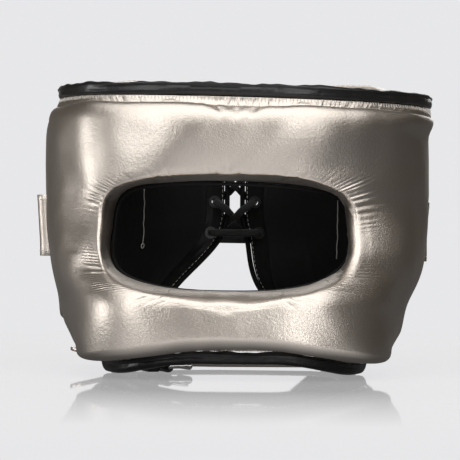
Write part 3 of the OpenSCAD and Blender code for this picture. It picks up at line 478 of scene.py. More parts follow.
class Finish:
    """A procedural material: a Principled shader and the nodes that feed it."""

    def __init__(self, name, color, roughness, metallic=0.0, **constants):
        self.material = bpy.data.materials.new(name)
        self.material.use_nodes = True
        self.tree = self.material.node_tree
        self.shader = self.tree.nodes["Principled BSDF"]
        self.shader.inputs["Base Color"].default_value = (*color, 1)
        self.shader.inputs["Roughness"].default_value = roughness
        self.shader.inputs["Metallic"].default_value = metallic
        for key, value in constants.items():
            self.shader.inputs[key.replace("_", " ")].default_value = value
        self.material.diffuse_color = (*color, 1)

    def node(self, kind, settings=None, **sockets):
        node = self.tree.nodes.new(kind)
        for key, value in (settings or {}).items():
            setattr(node, key, value)
        for key, value in sockets.items():
            numbered = key[0] == "i" and key[1:].isdigit()
            socket = node.inputs[int(key[1:]) if numbered else key.replace("_", " ")]
            if isinstance(value, Value):
                self.tree.links.new(value.socket, socket)
            elif value is not None:
                socket.default_value = value
        return node

    def out(self, node, index=0):
        return Value(self.tree, node.outputs[index])

    def place(self, scale=(1, 1, 1)):
        coords = self.node("ShaderNodeTexCoord")
        source = Value(self.tree, coords.outputs["Object"])
        return self.out(self.node("ShaderNodeMapping", Vector=source, Scale=scale))

    def axes(self):
        parts = self.node("ShaderNodeSeparateXYZ", Vector=self.place())
        return [self.out(parts, k) for k in range(3)]

    def noise(self, at, scale, detail=3.0, rough=0.55):
        return self.out(self.node("ShaderNodeTexNoise", Vector=at, Scale=scale, Detail=detail, Roughness=rough))

    def cells(self, at, scale, feature="F1", spread=1.0):
        return self.out(self.node("ShaderNodeTexVoronoi", {"feature": feature}, Vector=at, Scale=scale,
                                  Randomness=spread))

    def mix(self, factor, a, b):
        node = self.node("ShaderNodeMix", {"data_type": "RGBA"})
        self.tree.links.new(factor.socket, node.inputs[0])
        for k, color in ((6, a), (7, b)):
            if isinstance(color, Value):
                self.tree.links.new(color.socket, node.inputs[k])
            else:
                node.inputs[k].default_value = (*color, 1)
        return Value(self.tree, node.outputs[2])

    def feed(self, socket, value):
        self.tree.links.new(value.socket, self.shader.inputs[socket])

    def bump(self, height, distance, strength=1.0, over=None):
        node = self.node("ShaderNodeBump", Height=height, Distance=distance, Strength=strength)
        if over is not None:
            self.tree.links.new(over.socket, node.inputs["Normal"])
        return self.out(node)


def silver_leather():
    f = Finish("silver leather", (0.66, 0.59, 0.52), 0.34, 1.0)
    at = f.place()
    pebble = f.cells(at, 1000.0, "SMOOTH_F1")
    fine = f.noise(at, 1700.0, 4.0, 0.6)
    creases = f.noise(at, 330.0, 5.0, 0.62)
    broad = f.noise(at, 16.0, 3.0)
    grain = (1.0 - pebble) * 0.5 + fine * 0.4
    f.feed("Base Color", f.mix((broad * 0.7 + fine * 0.35).clamped(), (0.60, 0.535, 0.47), (0.71, 0.65, 0.59)))
    f.feed("Roughness", (0.28 + broad * 0.08 + fine * 0.11).clamped())
    f.feed("Normal", f.bump(grain, 0.00028, 0.6, f.bump(creases, 0.0004, 0.3)))
    return f.material


def black_leather(name="black leather", roughness=0.3, gloss=1.0):
    f = Finish(name, (0.009, 0.009, 0.0095), roughness, 0.0, Coat_Weight=0.2 * gloss, Coat_Roughness=0.15,
               Specular_IOR_Level=0.38 * gloss)
    at = f.place()
    pebble = f.cells(at, 700.0, "SMOOTH_F1")
    folds = f.noise(f.place((1.0, 1.0, 0.5)), 190.0, 5.0, 0.6)
    broad = f.noise(at, 30.0, 3.0)
    f.feed("Base Color", f.mix((folds * 1.4 - 0.4).clamped(), (0.006, 0.006, 0.0065), (0.015, 0.0145, 0.014)))
    f.feed("Roughness", (roughness - 0.08 + broad * 0.2 + folds * 0.08).clamped())
    coarse = f.bump(folds, 0.0006, 0.5)
    f.feed("Normal", f.bump(1.0 - pebble, 0.00022, 0.5, coarse))
    return f.material


def lining_cloth():
    f = Finish("black lining", (0.004, 0.004, 0.0045), 0.75, 0.0, Specular_IOR_Level=0.3)
    at = f.place()
    nap = f.noise(at, 1300.0, 4.0, 0.7)
    rub = f.noise(at, 45.0, 4.0)
    f.feed("Base Color", f.mix(rub, (0.003, 0.003, 0.0035), (0.007, 0.007, 0.0075)))
    f.feed("Roughness", (0.6 + nap * 0.2 + rub * 0.1).clamped())
    f.feed("Normal", f.bump(nap, 0.0002, 0.6, f.bump(rub, 0.0015, 0.4)))
    return f.material


def moulded_sheet():
    f = Finish("moulded sheet", (0.2, 0.22, 0.25), 0.5)
    grain = f.noise(f.place(), 900.0, 3.0)
    f.feed("Roughness", (0.42 + grain * 0.16).clamped())
    f.feed("Normal", f.bump(grain, 0.0001, 0.4))
    return f.material


def steel():
    f = Finish("nickel plated steel", (0.78, 0.77, 0.76), 0.16, 1.0)
    at = f.place()
    wear = f.noise(at, 160.0, 5.0)
    scratches = f.noise(f.place((1.0, 1.0, 14.0)), 380.0, 3.0)
    f.feed("Base Color", f.mix((wear * 1.2 - 0.2).clamped(), (0.70, 0.69, 0.68), (0.82, 0.81, 0.80)))
    f.feed("Roughness", (0.10 + wear * 0.14 + scratches * 0.06).clamped())
    f.feed("Normal", f.bump(scratches, 0.00005, 0.3))
    return f.material


def enamel():
    f = Finish("black enamel", (0.012, 0.012, 0.013), 0.3)
    wear = f.noise(f.place(), 240.0, 4.0)
    f.feed("Base Color", f.mix((wear * 1.4 - 0.4).clamped(), (0.010, 0.010, 0.011), (0.03, 0.03, 0.03)))
    f.feed("Roughness", (0.22 + wear * 0.2).clamped())
    f.feed("Normal", f.bump(wear, 0.00008, 0.4))
    return f.material


def thread(name, color):
    f = Finish(name, color, 0.45, 0.0, Sheen_Weight=0.3)
    twist = f.noise(f.place(), 2600.0, 2.0)
    # the colour is darker where the twist's bump sinks: painted shade in the grooves between the plies
    f.feed("Base Color", f.mix(twist, tuple(c * 0.65 for c in color), color))
    f.feed("Normal", f.bump(twist, 0.0001, 0.6))
    return f.material


def lace_braid():
    f = Finish("black lace", (0.014, 0.014, 0.015), 0.6, 0.0, Sheen_Weight=0.3)
    at = f.place()
    strands = f.cells(at, 1500.0, "F1", 0.6)
    fuzz = f.noise(at, 2500.0, 3.0)
    # the colour is darker in the gaps between the strands, where the bump sinks: painted shade
    f.feed("Base Color", f.mix(strands, (0.014, 0.014, 0.0145), (0.004, 0.004, 0.004)))
    f.feed("Roughness", (0.5 + fuzz * 0.25).clamped())
    f.feed("Normal", f.bump(1.0 - strands, 0.0004, 0.8))
    return f.material


def pile(name, scale, rough, height):
    f = Finish(name, (0.012, 0.012, 0.013), rough, 0.0, Sheen_Weight=0.3)
    at = f.place()
    loops = f.cells(at, scale)
    fuzz = f.noise(at, scale * 2.4, 3.0)
    # the colour is lighter on the loops' tops and darker in the gaps between them, where the bump sinks: painted shade
    f.feed("Base Color", f.mix(loops, (0.03, 0.03, 0.032), (0.006, 0.006, 0.006)))
    f.feed("Roughness", (rough - 0.1 + fuzz * 0.2).clamped())
    f.feed("Normal", f.bump((1.0 - loops) + fuzz * 0.4, height, 0.9))
    return f.material


SILVER = silver_leather()
BLACK = black_leather()
MATT_BLACK = black_leather("matt black leather", 0.5, gloss=0.3)
LINING = lining_cloth()
SHEET = moulded_sheet()
STEEL = steel()
ENAMEL = enamel()
SILVER_THREAD = thread("silver thread", (0.62, 0.6, 0.57))
BLACK_THREAD = thread("black thread", (0.02, 0.02, 0.021))
LACE = lace_braid()
LOOP_PILE = pile("loop pile", 1100.0, 0.85, 0.0006)
HOOK_PILE = pile("hook pile", 800.0, 0.6, 0.0005)


def dress(obj, material, body="shell"):
    obj.data.materials.clear()
    obj.data.materials.append(material)
    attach(obj, body)
    return obj


# How the soft pieces lie: the real one leans and bulges a little more on one side than the other
def settled(p, strap=False):
    """Moves points of the soft pieces, in millimetres, from the even shape to the way they lie."""
    q = np.array(p, float)
    x, y, z = q[..., 0].copy(), q[..., 1].copy(), q[..., 2].copy()
    smooth = lambda t: np.clip(t, 0, 1) ** 2 * (3 - 2 * np.clip(t, 0, 1))
    window = smooth((-y - 30) / 60) * (1 - smooth((np.abs(z - 88) - 42) / 36)) * (1 - smooth((np.abs(x) - 70) / 40))
    outer = smooth((np.abs(x) - 88) / 34)
    left, right = outer * (x < 0), outer * (x > 0)
    q[..., 0] += -5.2 * window
    q[..., 0] += left * (1.6 + 1.6 * smooth((z - 55) / 30) + 2.6 * smooth((z - 148) / 24) - 3.8 * near(z, 30, 12))
    q[..., 0] += right * (6.0 * smooth((z - 152) / 22) + 1.4 * near(z, 66, 18) - 2.5 * near(z, 44, 14)
                          - 4.5 * smooth((27 - z) / 11))
    q[..., 2] += -x / 130 * np.clip((z - 20) / 160, 0, 1.1) * 2.6
    if strap:
        return q
    behind = smooth((y - 50) / 30) * (1 - smooth((np.abs(x) - 44) / 36))
    q[..., 0] += -12.0 * behind * smooth((92 - z) / 45)
    return q


# Thin leather: a grid primitive laid through points, then thickened, holed and rounded by modifiers
def laid(name, p, closed_u=False, closed_v=False):
    """A grid primitive whose corners are put at the points given in millimetres, with UV in metres."""
    p = np.asarray(p, float) * MM
    if closed_u:
        p = np.concatenate([p, p[:1]])
    if closed_v:
        p = np.concatenate([p, p[:, :1]], 1)
    nu, nv = p.shape[:2]
    bpy.ops.object.select_all(action="DESELECT")
    bpy.ops.mesh.primitive_grid_add(x_subdivisions=nu - 1, y_subdivisions=nv - 1, size=1)
    obj = bpy.context.object
    mesh = obj.data
    obj.name = mesh.name = name
    flat = np.zeros(3 * len(mesh.vertices), np.float32)
    mesh.vertices.foreach_get("co", flat)
    flat = flat.reshape(-1, 3)
    i = np.rint((flat[:, 0] + 0.5) * (nu - 1)).astype(int)
    j = np.rint((flat[:, 1] + 0.5) * (nv - 1)).astype(int)
    mesh.vertices.foreach_set("co", p[i, j].astype(np.float32).ravel())
    u = np.concatenate([[0], np.cumsum(np.linalg.norm(np.diff(p, axis=0), axis=2).mean(1))])
    v = np.concatenate([[0], np.cumsum(np.linalg.norm(np.diff(p, axis=1), axis=2).mean(0))])
    corner = np.zeros(len(mesh.loops), np.int32)
    mesh.loops.foreach_get("vertex_index", corner)
    layer = mesh.uv_layers.active or mesh.uv_layers.new(name="leather")
    layer.data.foreach_set("uv", np.stack([u[i[corner]], v[j[corner]]], 1).astype(np.float32).ravel())
    mesh.polygons.foreach_set("use_smooth", [True] * len(mesh.polygons))
    mesh.update()
    if closed_u or closed_v:
        merged(obj, None if closed_u and closed_v else lambda: bpy.ops.mesh.fill_holes(sides=0))
        outside(obj)
    return obj


def worked(obj, kind, **settings):
    """Adds a modifier and applies it."""
    use(obj)
    modifier = obj.modifiers.new(kind.lower(), kind)
    for key, value in settings.items():
        setattr(modifier, key, value)
    bpy.ops.object.modifier_apply(modifier=modifier.name)


def smooth_by_angle(obj, degrees=40):
    use(obj)
    bpy.ops.object.shade_smooth_by_angle(angle=math.radians(degrees))


def thick(obj, t, round_edge=0.3, segments=2):
    """Gives a leather sheet its thickness and rounded edges, in millimetres."""
    worked(obj, "SOLIDIFY", thickness=t * MM, offset=0.0, use_even_offset=True)
    outside(obj)
    worked(obj, "BEVEL", width=round_edge * MM, segments=segments, limit_method="ANGLE", angle_limit=math.radians(50))
    smooth_by_angle(obj)


def pierced(obj, places, r, depth):
    """Round holes in millimetres: places are (point, direction)."""
    for at, way in places:
        bpy.ops.object.select_all(action="DESELECT")
        turn = Vector(way).to_track_quat("Z", "Y").to_euler()
        bpy.ops.mesh.primitive_cylinder_add(vertices=32, radius=r * MM, depth=depth * MM,
                                            location=Vector(at) * MM, rotation=turn)
        punch = bpy.context.object
        worked(obj, "BOOLEAN", operation="DIFFERENCE", object=punch, solver="EXACT")
        bpy.data.objects.remove(punch, do_unlink=True)
    smooth_by_angle(obj)


def tube(name, path, r, sides=10, closed=False, flat=None):
    """A round or flat tube along a path. flat gives (half width, half thickness, width direction) at each point."""
    path = np.asarray(path, float)
    n = len(path)
    ahead = np.roll(path, -1, 0) - np.roll(path, 1, 0) if closed else np.gradient(path, axis=0)
    t = ahead / np.maximum(np.linalg.norm(ahead, axis=1, keepdims=True), 1e-9)
    side = np.zeros_like(path)
    first = np.array([0.0, 0, 1]) if abs(t[0, 2]) < 0.9 else np.array([1.0, 0, 0])
    u = first - first.dot(t[0]) * t[0]
    for k in range(n):
        u = u - u.dot(t[k]) * t[k]
        u /= np.linalg.norm(u)
        side[k] = u
    if flat is not None:
        half_w, half_t, way = flat
        side = way - (way * t).sum(1, keepdims=True) * t
        side /= np.maximum(np.linalg.norm(side, axis=1, keepdims=True), 1e-9)
    else:
        half_w = half_t = np.ones(n) * r
    up = np.cross(t, side)
    a = np.arange(sides) * 2 * math.pi / sides
    c, s = np.cos(a), np.sin(a)
    if flat is not None:
        c, s = np.sign(c) * np.abs(c) ** 0.8, np.sign(s) * np.abs(s) ** 0.6
    ring = path[:, None] + side[:, None] * c[None, :, None] * half_w[:, None, None]
    ring = ring + up[:, None] * s[None, :, None] * half_t[:, None, None]
    return laid(name, ring, closed, True)


def smooth_path(p, n):
    """A smooth path through the points of p, with n steps between them."""
    p = np.asarray(p, float)
    out = []
    for i in range(len(p) - 1):
        a, b, c, d = p[max(i - 1, 0)], p[i], p[i + 1], p[min(i + 2, len(p) - 1)]
        for k in range(n):
            t = k / n
            out.append(b + ((c - a) * t + (2 * a - 5 * b + 4 * c - d) * t * t + (3 * b - a - 3 * c + d) * t ** 3) / 2)
    return np.array(out + [p[-1]])


@lru_cache
def one_stitch():
    """The points and faces of a stitch: a small ball with its axis along x."""
    bpy.ops.object.select_all(action="DESELECT")
    bpy.ops.mesh.primitive_uv_sphere_add(segments=6, ring_count=5, radius=1, rotation=(0, math.radians(90), 0))
    ball = bpy.context.object
    bpy.ops.object.transform_apply(location=True, rotation=True, scale=True)
    shape = np.array([v.co[:] for v in ball.data.vertices]), [list(f.vertices) for f in ball.data.polygons]
    bpy.data.objects.remove(ball, do_unlink=True)
    return shape


def stitches(name, runs, material, body="shell", pitch=3.4, length=2.4, r=0.34, across=False, seed=1.0):
    """Rows of thread stitches. Each run is (points, outward directions) in millimetres."""
    shape, faces = one_stitch()
    verts, polys = [], []
    for points, normals in runs:
        points, normals = np.asarray(points, float), np.asarray(normals, float)
        d = np.concatenate([[0], np.cumsum(np.linalg.norm(np.diff(points, axis=0), axis=1))])
        at_distance = lambda x, values: np.array([np.interp(x, d, values[:, a]) for a in range(3)])
        for k in range(int(d[-1] / pitch)):
            wobble = wander(k * 0.73, seed, len(points) * 0.01)
            at = (k + 0.5 + 0.12 * wobble) * pitch
            c, n = at_distance(at, points), at_distance(at, normals)
            e = at_distance(at + 0.4, points) - at_distance(at - 0.4, points)
            t = e / max(np.linalg.norm(e), 1e-9)
            n = n - n.dot(t) * t
            n /= max(np.linalg.norm(n), 1e-9)
            b = np.cross(n, t)
            if across:
                t, b = b + t * 0.45 * wobble, -t
                t /= np.linalg.norm(t)
            long = length * (1 + 0.12 * wobble)
            q = shape[:, 0:1] * t * long / 2 + shape[:, 1:2] * b * r + shape[:, 2:3] * n * r * 0.9
            polys += [[v + len(verts) * len(shape) for v in f] for f in faces]
            verts.append(c + n * r * 0.35 + q)
    mesh = bpy.data.meshes.new(name)
    mesh.from_pydata((np.concatenate(verts) * MM).tolist(), [], polys)
    mesh.polygons.foreach_set("use_smooth", [True] * len(mesh.polygons))
    obj = bpy.data.objects.new(name, mesh)
    bpy.context.scene.collection.objects.link(obj)
    outside(obj)
    return dress(obj, material, body)


def outward(th, z):
    return np.array(lay(th, z, 1)) - np.array(lay(th, z, 0))


# The mask: one padded ring round the window
MASK_ROWS = (12, 26, 14, 8)


def mask_ring(columns, rows, back_rows):
    """Columns of points round the window: the outer side from the window to the rim, then the back."""
    out = []
    for i in columns:
        s = spoke(i)
        path = mask_section(s, rows)
        back = [mask_point(s, 1 - k / back_rows, BACK_H, LINING_DROP) for k in range(back_rows + 1)]
        out.append(path + back)
    return np.array(out)


def mask_columns(side, edge):
    """Column positions along the spokes, with side steps on the short sides and edge steps on the long ones."""
    out = []
    for start, length, steps in ((0, SIDE_SPOKES, side), (TOP_START, EDGE_SPOKES, edge),
                                 (LEFT_START, SIDE_SPOKES, side), (LOW_START, EDGE_SPOKES, edge)):
        out += [start + length * k / steps for k in range(steps)]
    return out


def row_lengths(p):
    """Distance of each point from the first row, along its column, in millimetres."""
    step = np.linalg.norm(np.diff(p, axis=1), axis=2)
    return np.concatenate([np.zeros((p.shape[0], 1)), np.cumsum(step, 1)], 1)


def column_lengths(p):
    """Distance of each point from the first column, along its row, in millimetres."""
    return row_lengths(p.swapaxes(0, 1)).T


def near(x, middle, width):
    return np.exp(-(((x - middle) / width) ** 2))


def irregular(u, length, seed):
    """A wave along u whose length varies about the one given."""
    drift = np.array([wander(q / (length * 4.3), seed, 0.3) for q in u])
    return np.sin(2 * math.pi * (u / length + 1.6 * drift))


# Where the leather creases at the window: angle round it, spread and depth
CREASES = ((212, 20, 1.1), (148, 14, 0.6), (36, 15, 0.9), (322, 18, 0.45), (6, 10, 0.4))


def face_mask():
    columns = mask_columns(104, 540)
    rows = MASK_ROWS
    outer = sum(rows) + 1
    p = mask_ring(columns, rows, 5)
    p = p + filled_with_air(p, outer, True, 0.02, 1.6)
    skin = p[:, :outer]
    n = outward_normals(skin, True)
    d, total = row_lengths(skin), row_lengths(skin)[:, -1:]
    u_rim, u_window = column_lengths(skin)[:, -1], column_lengths(skin)[:, 0]
    phi = np.array([spoke(i)[0] % 360 for i in columns])
    th = np.array([spoke(i)[1] for i in columns])
    top = np.array([spoke(i)[4] for i in columns])
    inner = d[:, rows[0]:rows[0] + 1]
    face = np.clip((d - inner) / (total - inner), 0, 1)
    lift = 1.7 * wave_noise(skin, 52.0, 3.1) + 0.6 * wave_noise(skin, 21.0, 8.7)
    lift += np.where(top > 0.5, 2.6, 3.2)[:, None] * np.exp(-((np.abs(th) / 60) ** 4))[:, None] * np.sin(np.pi * face)
    lift *= np.minimum(1, d / 10) * np.minimum(1, (total - d) / 8)
    # pleats under the stitches at both rims
    spokes = np.array(columns)
    at_edge = (spokes >= TOP_START) & (spokes <= LEFT_START) | (spokes >= LOW_START)
    pleat = irregular(u_rim, 2.7, 1.5) + 0.5 * irregular(u_rim, 5.9, 4.1)
    pleat *= np.array([0.8 + 0.7 * wander(q / 17, 4.4, 0) for q in u_rim])
    front = 1 - 0.7 * np.clip((np.abs(th) - 50) / 30, 0, 1)
    strong = np.where(top > 0.5, 0.26, 0.42) * np.where(at_edge, front, 0.2)
    lift += (pleat * strong)[:, None] * near(total - d, 3.0, 2.6)
    # creases that fan out from the window's corners
    fan = sum(size * near(phi, middle, width) for middle, width, size in CREASES)
    depth = np.array([0.4 + 1.2 * abs(wander(q / 9, 6, 1)) for q in u_window])
    crease = irregular(u_window, 3.1, 7.7) * depth * 1.6
    reach = np.array([7 + 6 * wander(q / 6, 2.2, 5) for q in u_window])
    lift += (crease * fan)[:, None] * near(d - inner, 4.0, reach[:, None]) * 0.42
    # the turned strip along the window's two sides
    strip = 0.9 * near(phi, 182, 34) + 0.45 * (near(phi, 358, 26) + near(phi, -2, 26))
    lift -= strip[:, None] * near(d - inner, 0.6, 1.4)
    lift += 0.4 * strip[:, None] * near(d - inner, 3.8, 2.2)
    p[:, :outer] = skin + n * lift[:, :, None]
    p = settled(p)
    cover = grid_object("mask_leather", p, True, True)
    dress(cover, SILVER)
    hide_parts("face_cover", "forehead_foam", "cheek_foam_left", "cheek_foam_right", "bar_foam_front",
                "bar_foam_back")
    return p, outer, columns


def rear_half(side, name):
    cols, rows, back_rows = 84, 104, 6
    p = []
    for c in range(cols + 1):
        cc = REAR_SPOKES * c / cols
        outer_path = [rear_outer(side, cc, SIDE_SPOKES * j / rows) for j in range(rows + 1)]
        back = [rear_level(side, cc, SIDE_SPOKES * (1 - j / back_rows), BACK_H) for j in range(back_rows + 1)]
        p.append(outer_path + back)
    p = np.array(p)
    outer = rows + 1
    p = p + filled_with_air(p, outer, False, 0.02, 1.4)
    skin = p[:, :outer]
    n = outward_normals(skin, False)
    d, total = row_lengths(skin), row_lengths(skin)[:, -1:]
    e, width = column_lengths(skin), column_lengths(skin)[-1:, :]
    edge = np.minimum(np.minimum(d, total - d), np.minimum(e, width - e))
    lift = (0.7 * wave_noise(skin, 40.0, 5.0 + side) + 0.3 * wave_noise(skin, 17.0, 9.0)) * np.minimum(1, edge / 9)
    for along, off in ((e[:, 0], d), (e[:, -1], total - d)):
        lift += (irregular(along, 4.8, 3.3 + side) * 0.3)[:, None] * near(off, 3.2, 2.6)
    p[:, :outer] = skin + n * lift[:, :, None]
    p = settled(p)
    cover = grid_object(f"rear_leather_{name}", p, False, True, cap=True)
    dress(cover, SILVER)
    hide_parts(f"rear_cover_{name}", f"rear_foam_{name}")
    return p, outer


# Linings: the black inner side of the mask and of the rear halves
def mask_lining():
    columns, across = mask_columns(60, 150), 18
    inner, back = [], []
    for i in columns:
        s = spoke(i)
        shares = [0.002 + (1 - 0.002) * (k / across) ** 1.2 for k in range(across + 1)]
        level = lambda q, h: lay(lerp(skewed(window_angle(s[0]), h), s[1], q),
                                 lerp(window_height(s[0]), s[2] - LINING_DROP * s[4], q), h)
        inner.append([level(q, 0) for q in shares])
        back.append([level(q, LINING_T) for q in shares[::-1]])
    inner, back = np.array(inner), np.array(back)
    n = outward_normals(inner, True)
    d = row_lengths(inner)
    edge = np.minimum(1, np.minimum(d, d[:, -1:] - d) / 8)
    lift = (0.7 * wave_noise(inner, 30.0, 2.2) + 0.3 * wave_noise(inner, 12.0, 6.1)) * edge
    # a soft fold over the wearer's left brow
    fold = near(inner[..., 2] + 0.006 * (inner[..., 0] + 46) ** 2, 112, 2.2)
    lift -= 1.2 * fold * near(inner[..., 0], -46, 22) * (inner[..., 1] < 20)
    inner = inner - n * np.maximum(lift, -0.4)[:, :, None]
    lining = grid_object("mask_lining", settled(np.concatenate([inner, back], 1)), True, True)
    dress(lining, LINING)
    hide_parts("face_lining")


def rear_lining(side, name):
    cols, rows = 56, 64
    grid = lambda h: np.array([[rear_level(side, REAR_SPOKES * c / cols, SIDE_SPOKES * j / rows, h)
                                for j in range(rows + 1)] for c in range(cols + 1)])
    inner, back = grid(0), grid(LINING_T)[:, ::-1]
    n = outward_normals(inner, False)
    d, e = row_lengths(inner), column_lengths(inner)
    edge = np.minimum(1, np.minimum(np.minimum(d, d[:, -1:] - d), np.minimum(e, e[-1:] - e)) / 9)
    lift = (0.9 * wave_noise(inner, 34.0, 4.0 + side) + 0.35 * wave_noise(inner, 13.0, 7.0)) * edge
    # two sewn channels run down each half
    for share in (0.36, 0.7):
        lift -= near(e - share * e[-1:], 0, 1.6) * edge
    inner = inner - n * np.maximum(lift, -0.4)[:, :, None]
    lining = grid_object(f"rear_lining_pad_{name}", settled(np.concatenate([inner, back], 1)), False, True, cap=True)
    dress(lining, LINING)
    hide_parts(f"rear_lining_{name}")


# Rims: leather folded over the edge, in sections of distance outside the lining and height
def folded_rim(name, node, stop, low, base, outline, seed):
    """A binding round the head, as far as stop degrees on both sides, with a wavering fold along it."""
    steps = 520
    angles = np.linspace(-stop, stop, steps)
    rings = []
    for k, th in enumerate(angles):
        z0 = low(th) + base
        c, half_w, half_h = outline(th)
        groove = half_h * (0.15 + 0.75 * wander(th / 34, seed, 0.4))
        half_h *= 1 + 0.16 * wander(th / 12, seed, 8) + 0.10 * wander(th / 4.1, seed, 6)
        pinch = 0.10 * wander(th / 2.2, seed, 2) + 0.16 * wander(th / 9, seed, 5)
        ring = []
        end = max(edge_roll(min(k, steps - 1 - k), 3), 0.05)
        for a in range(0, 360, 12):
            h = c[0] + (half_w + pinch) * spow(cos(a), 0.62) * end
            z = c[1] + half_h - RIM_H / 2 + half_h * spow(sin(a), 0.62) * end
            outer = max(0.0, cos(a))
            h -= 1.25 * outer * near(z - c[1], groove, 0.6)
            h += 0.7 * outer * near(z - c[1], groove + 1.4, 0.9)
            ring.append(lay(th, z0 + z, h))
        rings.append(ring)
    rim = laid(name, settled(np.array(rings)), False, True)
    dress(rim, BLACK)
    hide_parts(node)


def top_section(th):
    o = rim_off(th) + BINDING_OUT
    return (o - RIM_W / 2, RIM_H / 2), RIM_W / 2, RIM_H / 2


def bottom_section(_):
    o = BOTTOM_END + BINDING_OUT
    return (0.2 + o / 2, RIM_H / 2), (o - 0.2) / 2, RIM_H / 2


def gusset():
    rings = []
    for th in np.linspace(-175.4, 175.4, 300):
        o, z = rim_off(th) + BINDING_OUT - RIM_W - GAP, top_z(th) - RIM_H + 0.6
        puff = 0.5 + 0.4 * wander(th / 16, 3.3, 1)
        path = []
        for k in range(9):
            t = k / 8
            path.append(lay(th, z + 1.8 - LINING_DROP * t + puff * math.sin(math.pi * t), lerp(o, 0.2, t)))
        path += [lay(th, z - LINING_DROP * (1 - k / 4), lerp(0.2, o, k / 4)) for k in range(5)]
        rings.append(path)
    piece = laid("crown_slope", settled(np.array(rings)), False, True)
    dress(piece, LINING)
    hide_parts("top_gusset")


def window_edge():
    per_degree = CAVITY_W * math.pi / 180
    place = lambda phi, inset: np.array(lay(skewed(window_angle(phi, inset / per_degree), LINING_T),
                                            window_height(phi, inset) + 2.4 * min(0, sin(phi)), LINING_T))
    ring = []
    for phi in np.arange(0, 360, 0.75):
        c, p = place(phi, 1.95), place(phi, 3.05)
        side = (p - c) / np.linalg.norm(p - c)
        up = outward(window_angle(phi), c[2])
        r = 1.1 + 0.08 * wander(phi / 5, 1, 1)
        ring.append([c + r * (cos(a) * side + sin(a) * up) for a in range(0, 360, 30)])
    piece = laid("window_piping_roll", settled(np.array(ring)), True, True)
    dress(piece, LINING)
    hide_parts("window_piping")


def ear_sleeve(side, name):
    rings = []
    half_a, half_z, t = EAR_HALF_ANGLE - 0.5, EAR_HALF_H - GAP - 0.3, 1.8
    for k in range(120):
        a = 3 * k
        spot = lambda inset, h: lay(side * (SEAM + (half_a - inset * 0.6) * cos(a)),
                                    EAR_Z + (half_z - inset) * sin(a), h)
        wave = 0.15 * wander(cos(a) * 3, sin(a) * 3, side)
        section = ((0, 0.2), (0, 7), (0, SEAM_END - 1.2), (0.25, SEAM_END - 0.3), (0.9, SEAM_END + 0.3 + wave),
                   (1.5, SEAM_END + wave), (t, SEAM_END - 1), (t + wave, 8), (t, 1), (t - 0.5, 0.2))
        rings.append([spot(inset, h) for inset, h in section])
    piece = laid(f"ear_sleeve_leather_{name}", settled(np.array(rings)), True, True)
    dress(piece, BLACK)
    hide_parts(f"ear_sleeve_{name}")


# The rear lacing
STRIP_MID, STRIP_T, EYELET_R, LACE_R = 7, 2.6, 2.4, 1.3
LACE_LOW, LACE_STEP, EDGE_SHIFT, EDGE_R = 89, 22, 0.75, 1.8
LACE_SIZE = 5.2, 1.15
UP, BACKWARD = np.array([0, 0, 1.0]), np.array([0, 1.0, 0])
LACE_OFF, LACE_EDGE = STRIP_T / 2 + 0.9 + GAP + LACE_R, EDGE_R + GAP + LACE_R + 0.7


def eyelet_z(i):
    return LACE_LOW + LACE_STEP * i


def eyelet_angle(z):
    return strip_free(z) - STRIP_ANGLE / 2


def at_eyelet(side, i, off=0.0):
    """The middle of an eyelet in a rear strip, or a point off millimetres outside it."""
    z = eyelet_z(i)
    return lay(side * eyelet_angle(z), z, STRIP_MID + off)


def lace_strip(side, name):
    """A rear strip with its eyelet holes and piped edge; gives back its two stitch lines."""
    low, high = cover_low(150) + 1, cover_high(170) - 2
    grid = []
    for k in range(121):
        z = lerp(low, high, k / 120)
        a, b = strip_free(z) - STRIP_ANGLE + 0.3, strip_free(z) - 0.3
        grid.append([lay(side * lerp(a, b, c / 12), z, STRIP_MID + 0.12 * wander(z / 8, c / 3, side))
                     for c in range(13)])
    piece = laid(f"lace_strip_leather_{name}", settled(np.array(grid)))
    thick(piece, STRIP_T, 0.5)
    holes = [(settled(np.array(at_eyelet(side, i))), outward(side * eyelet_angle(eyelet_z(i)), eyelet_z(i)))
             for i in range(4)]
    pierced(piece, holes, EYELET_R + 0.8, 12)
    dress(piece, MATT_BLACK)
    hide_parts(f"lace_strip_{name}")
    path = []
    for k in range(161):
        z = lerp(low, high, k / 160)
        path.append(lay(side * (strip_free(z) + EDGE_SHIFT), z, STRIP_MID))
    edge = tube(f"rear_edge_roll_{name}", settled(np.array(path)), EDGE_R, 14)
    dress(edge, MATT_BLACK)
    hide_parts(f"rear_edge_{name}")
    levels, runs = np.linspace(low + 2, high - 2, 200), []
    for face in (-1, 1):
        line = [lay(side * (strip_free(z) - 0.9), z, STRIP_MID + face * STRIP_T / 2) for z in levels]
        runs.append((settled(np.array(line)), np.array([outward(side * strip_free(z), z) * face for z in levels])))
    return runs


def lace_leg(side, i, over):
    """The lace from one eyelet across the gap to the next one up on the other side."""
    a, b = eyelet_z(i), eyelet_z(i + 1)
    first, last = lerp(a, b, 0.27), lerp(a, b, 0.73)
    return [at_eyelet(side, i), at_eyelet(side, i, LACE_OFF),
            lay(side * (strip_free(first) + EDGE_SHIFT), first, STRIP_MID + LACE_EDGE),
            lay(180, (a + b) / 2, STRIP_MID + over * (LACE_R + 0.25)),
            lay(-side * (strip_free(last) + EDGE_SHIFT), last, STRIP_MID - LACE_EDGE),
            at_eyelet(-side, i + 1, -LACE_OFF)]


def rear_strand(side):
    """One half of the rear lace, from the lowest crossing up to the bow."""
    out = [lay(180, eyelet_z(0), STRIP_MID - LACE_OFF - 0.6), at_eyelet(side, 0, -LACE_OFF)]
    for i in range(3):
        out += lace_leg(side * (1 if i % 2 == 0 else -1), i, side)
    return out + [at_eyelet(-side, 3), at_eyelet(-side, 3, LACE_OFF),
                  lay(-side * 177.8, eyelet_z(3) + 5, STRIP_MID + LACE_EDGE + 1)]


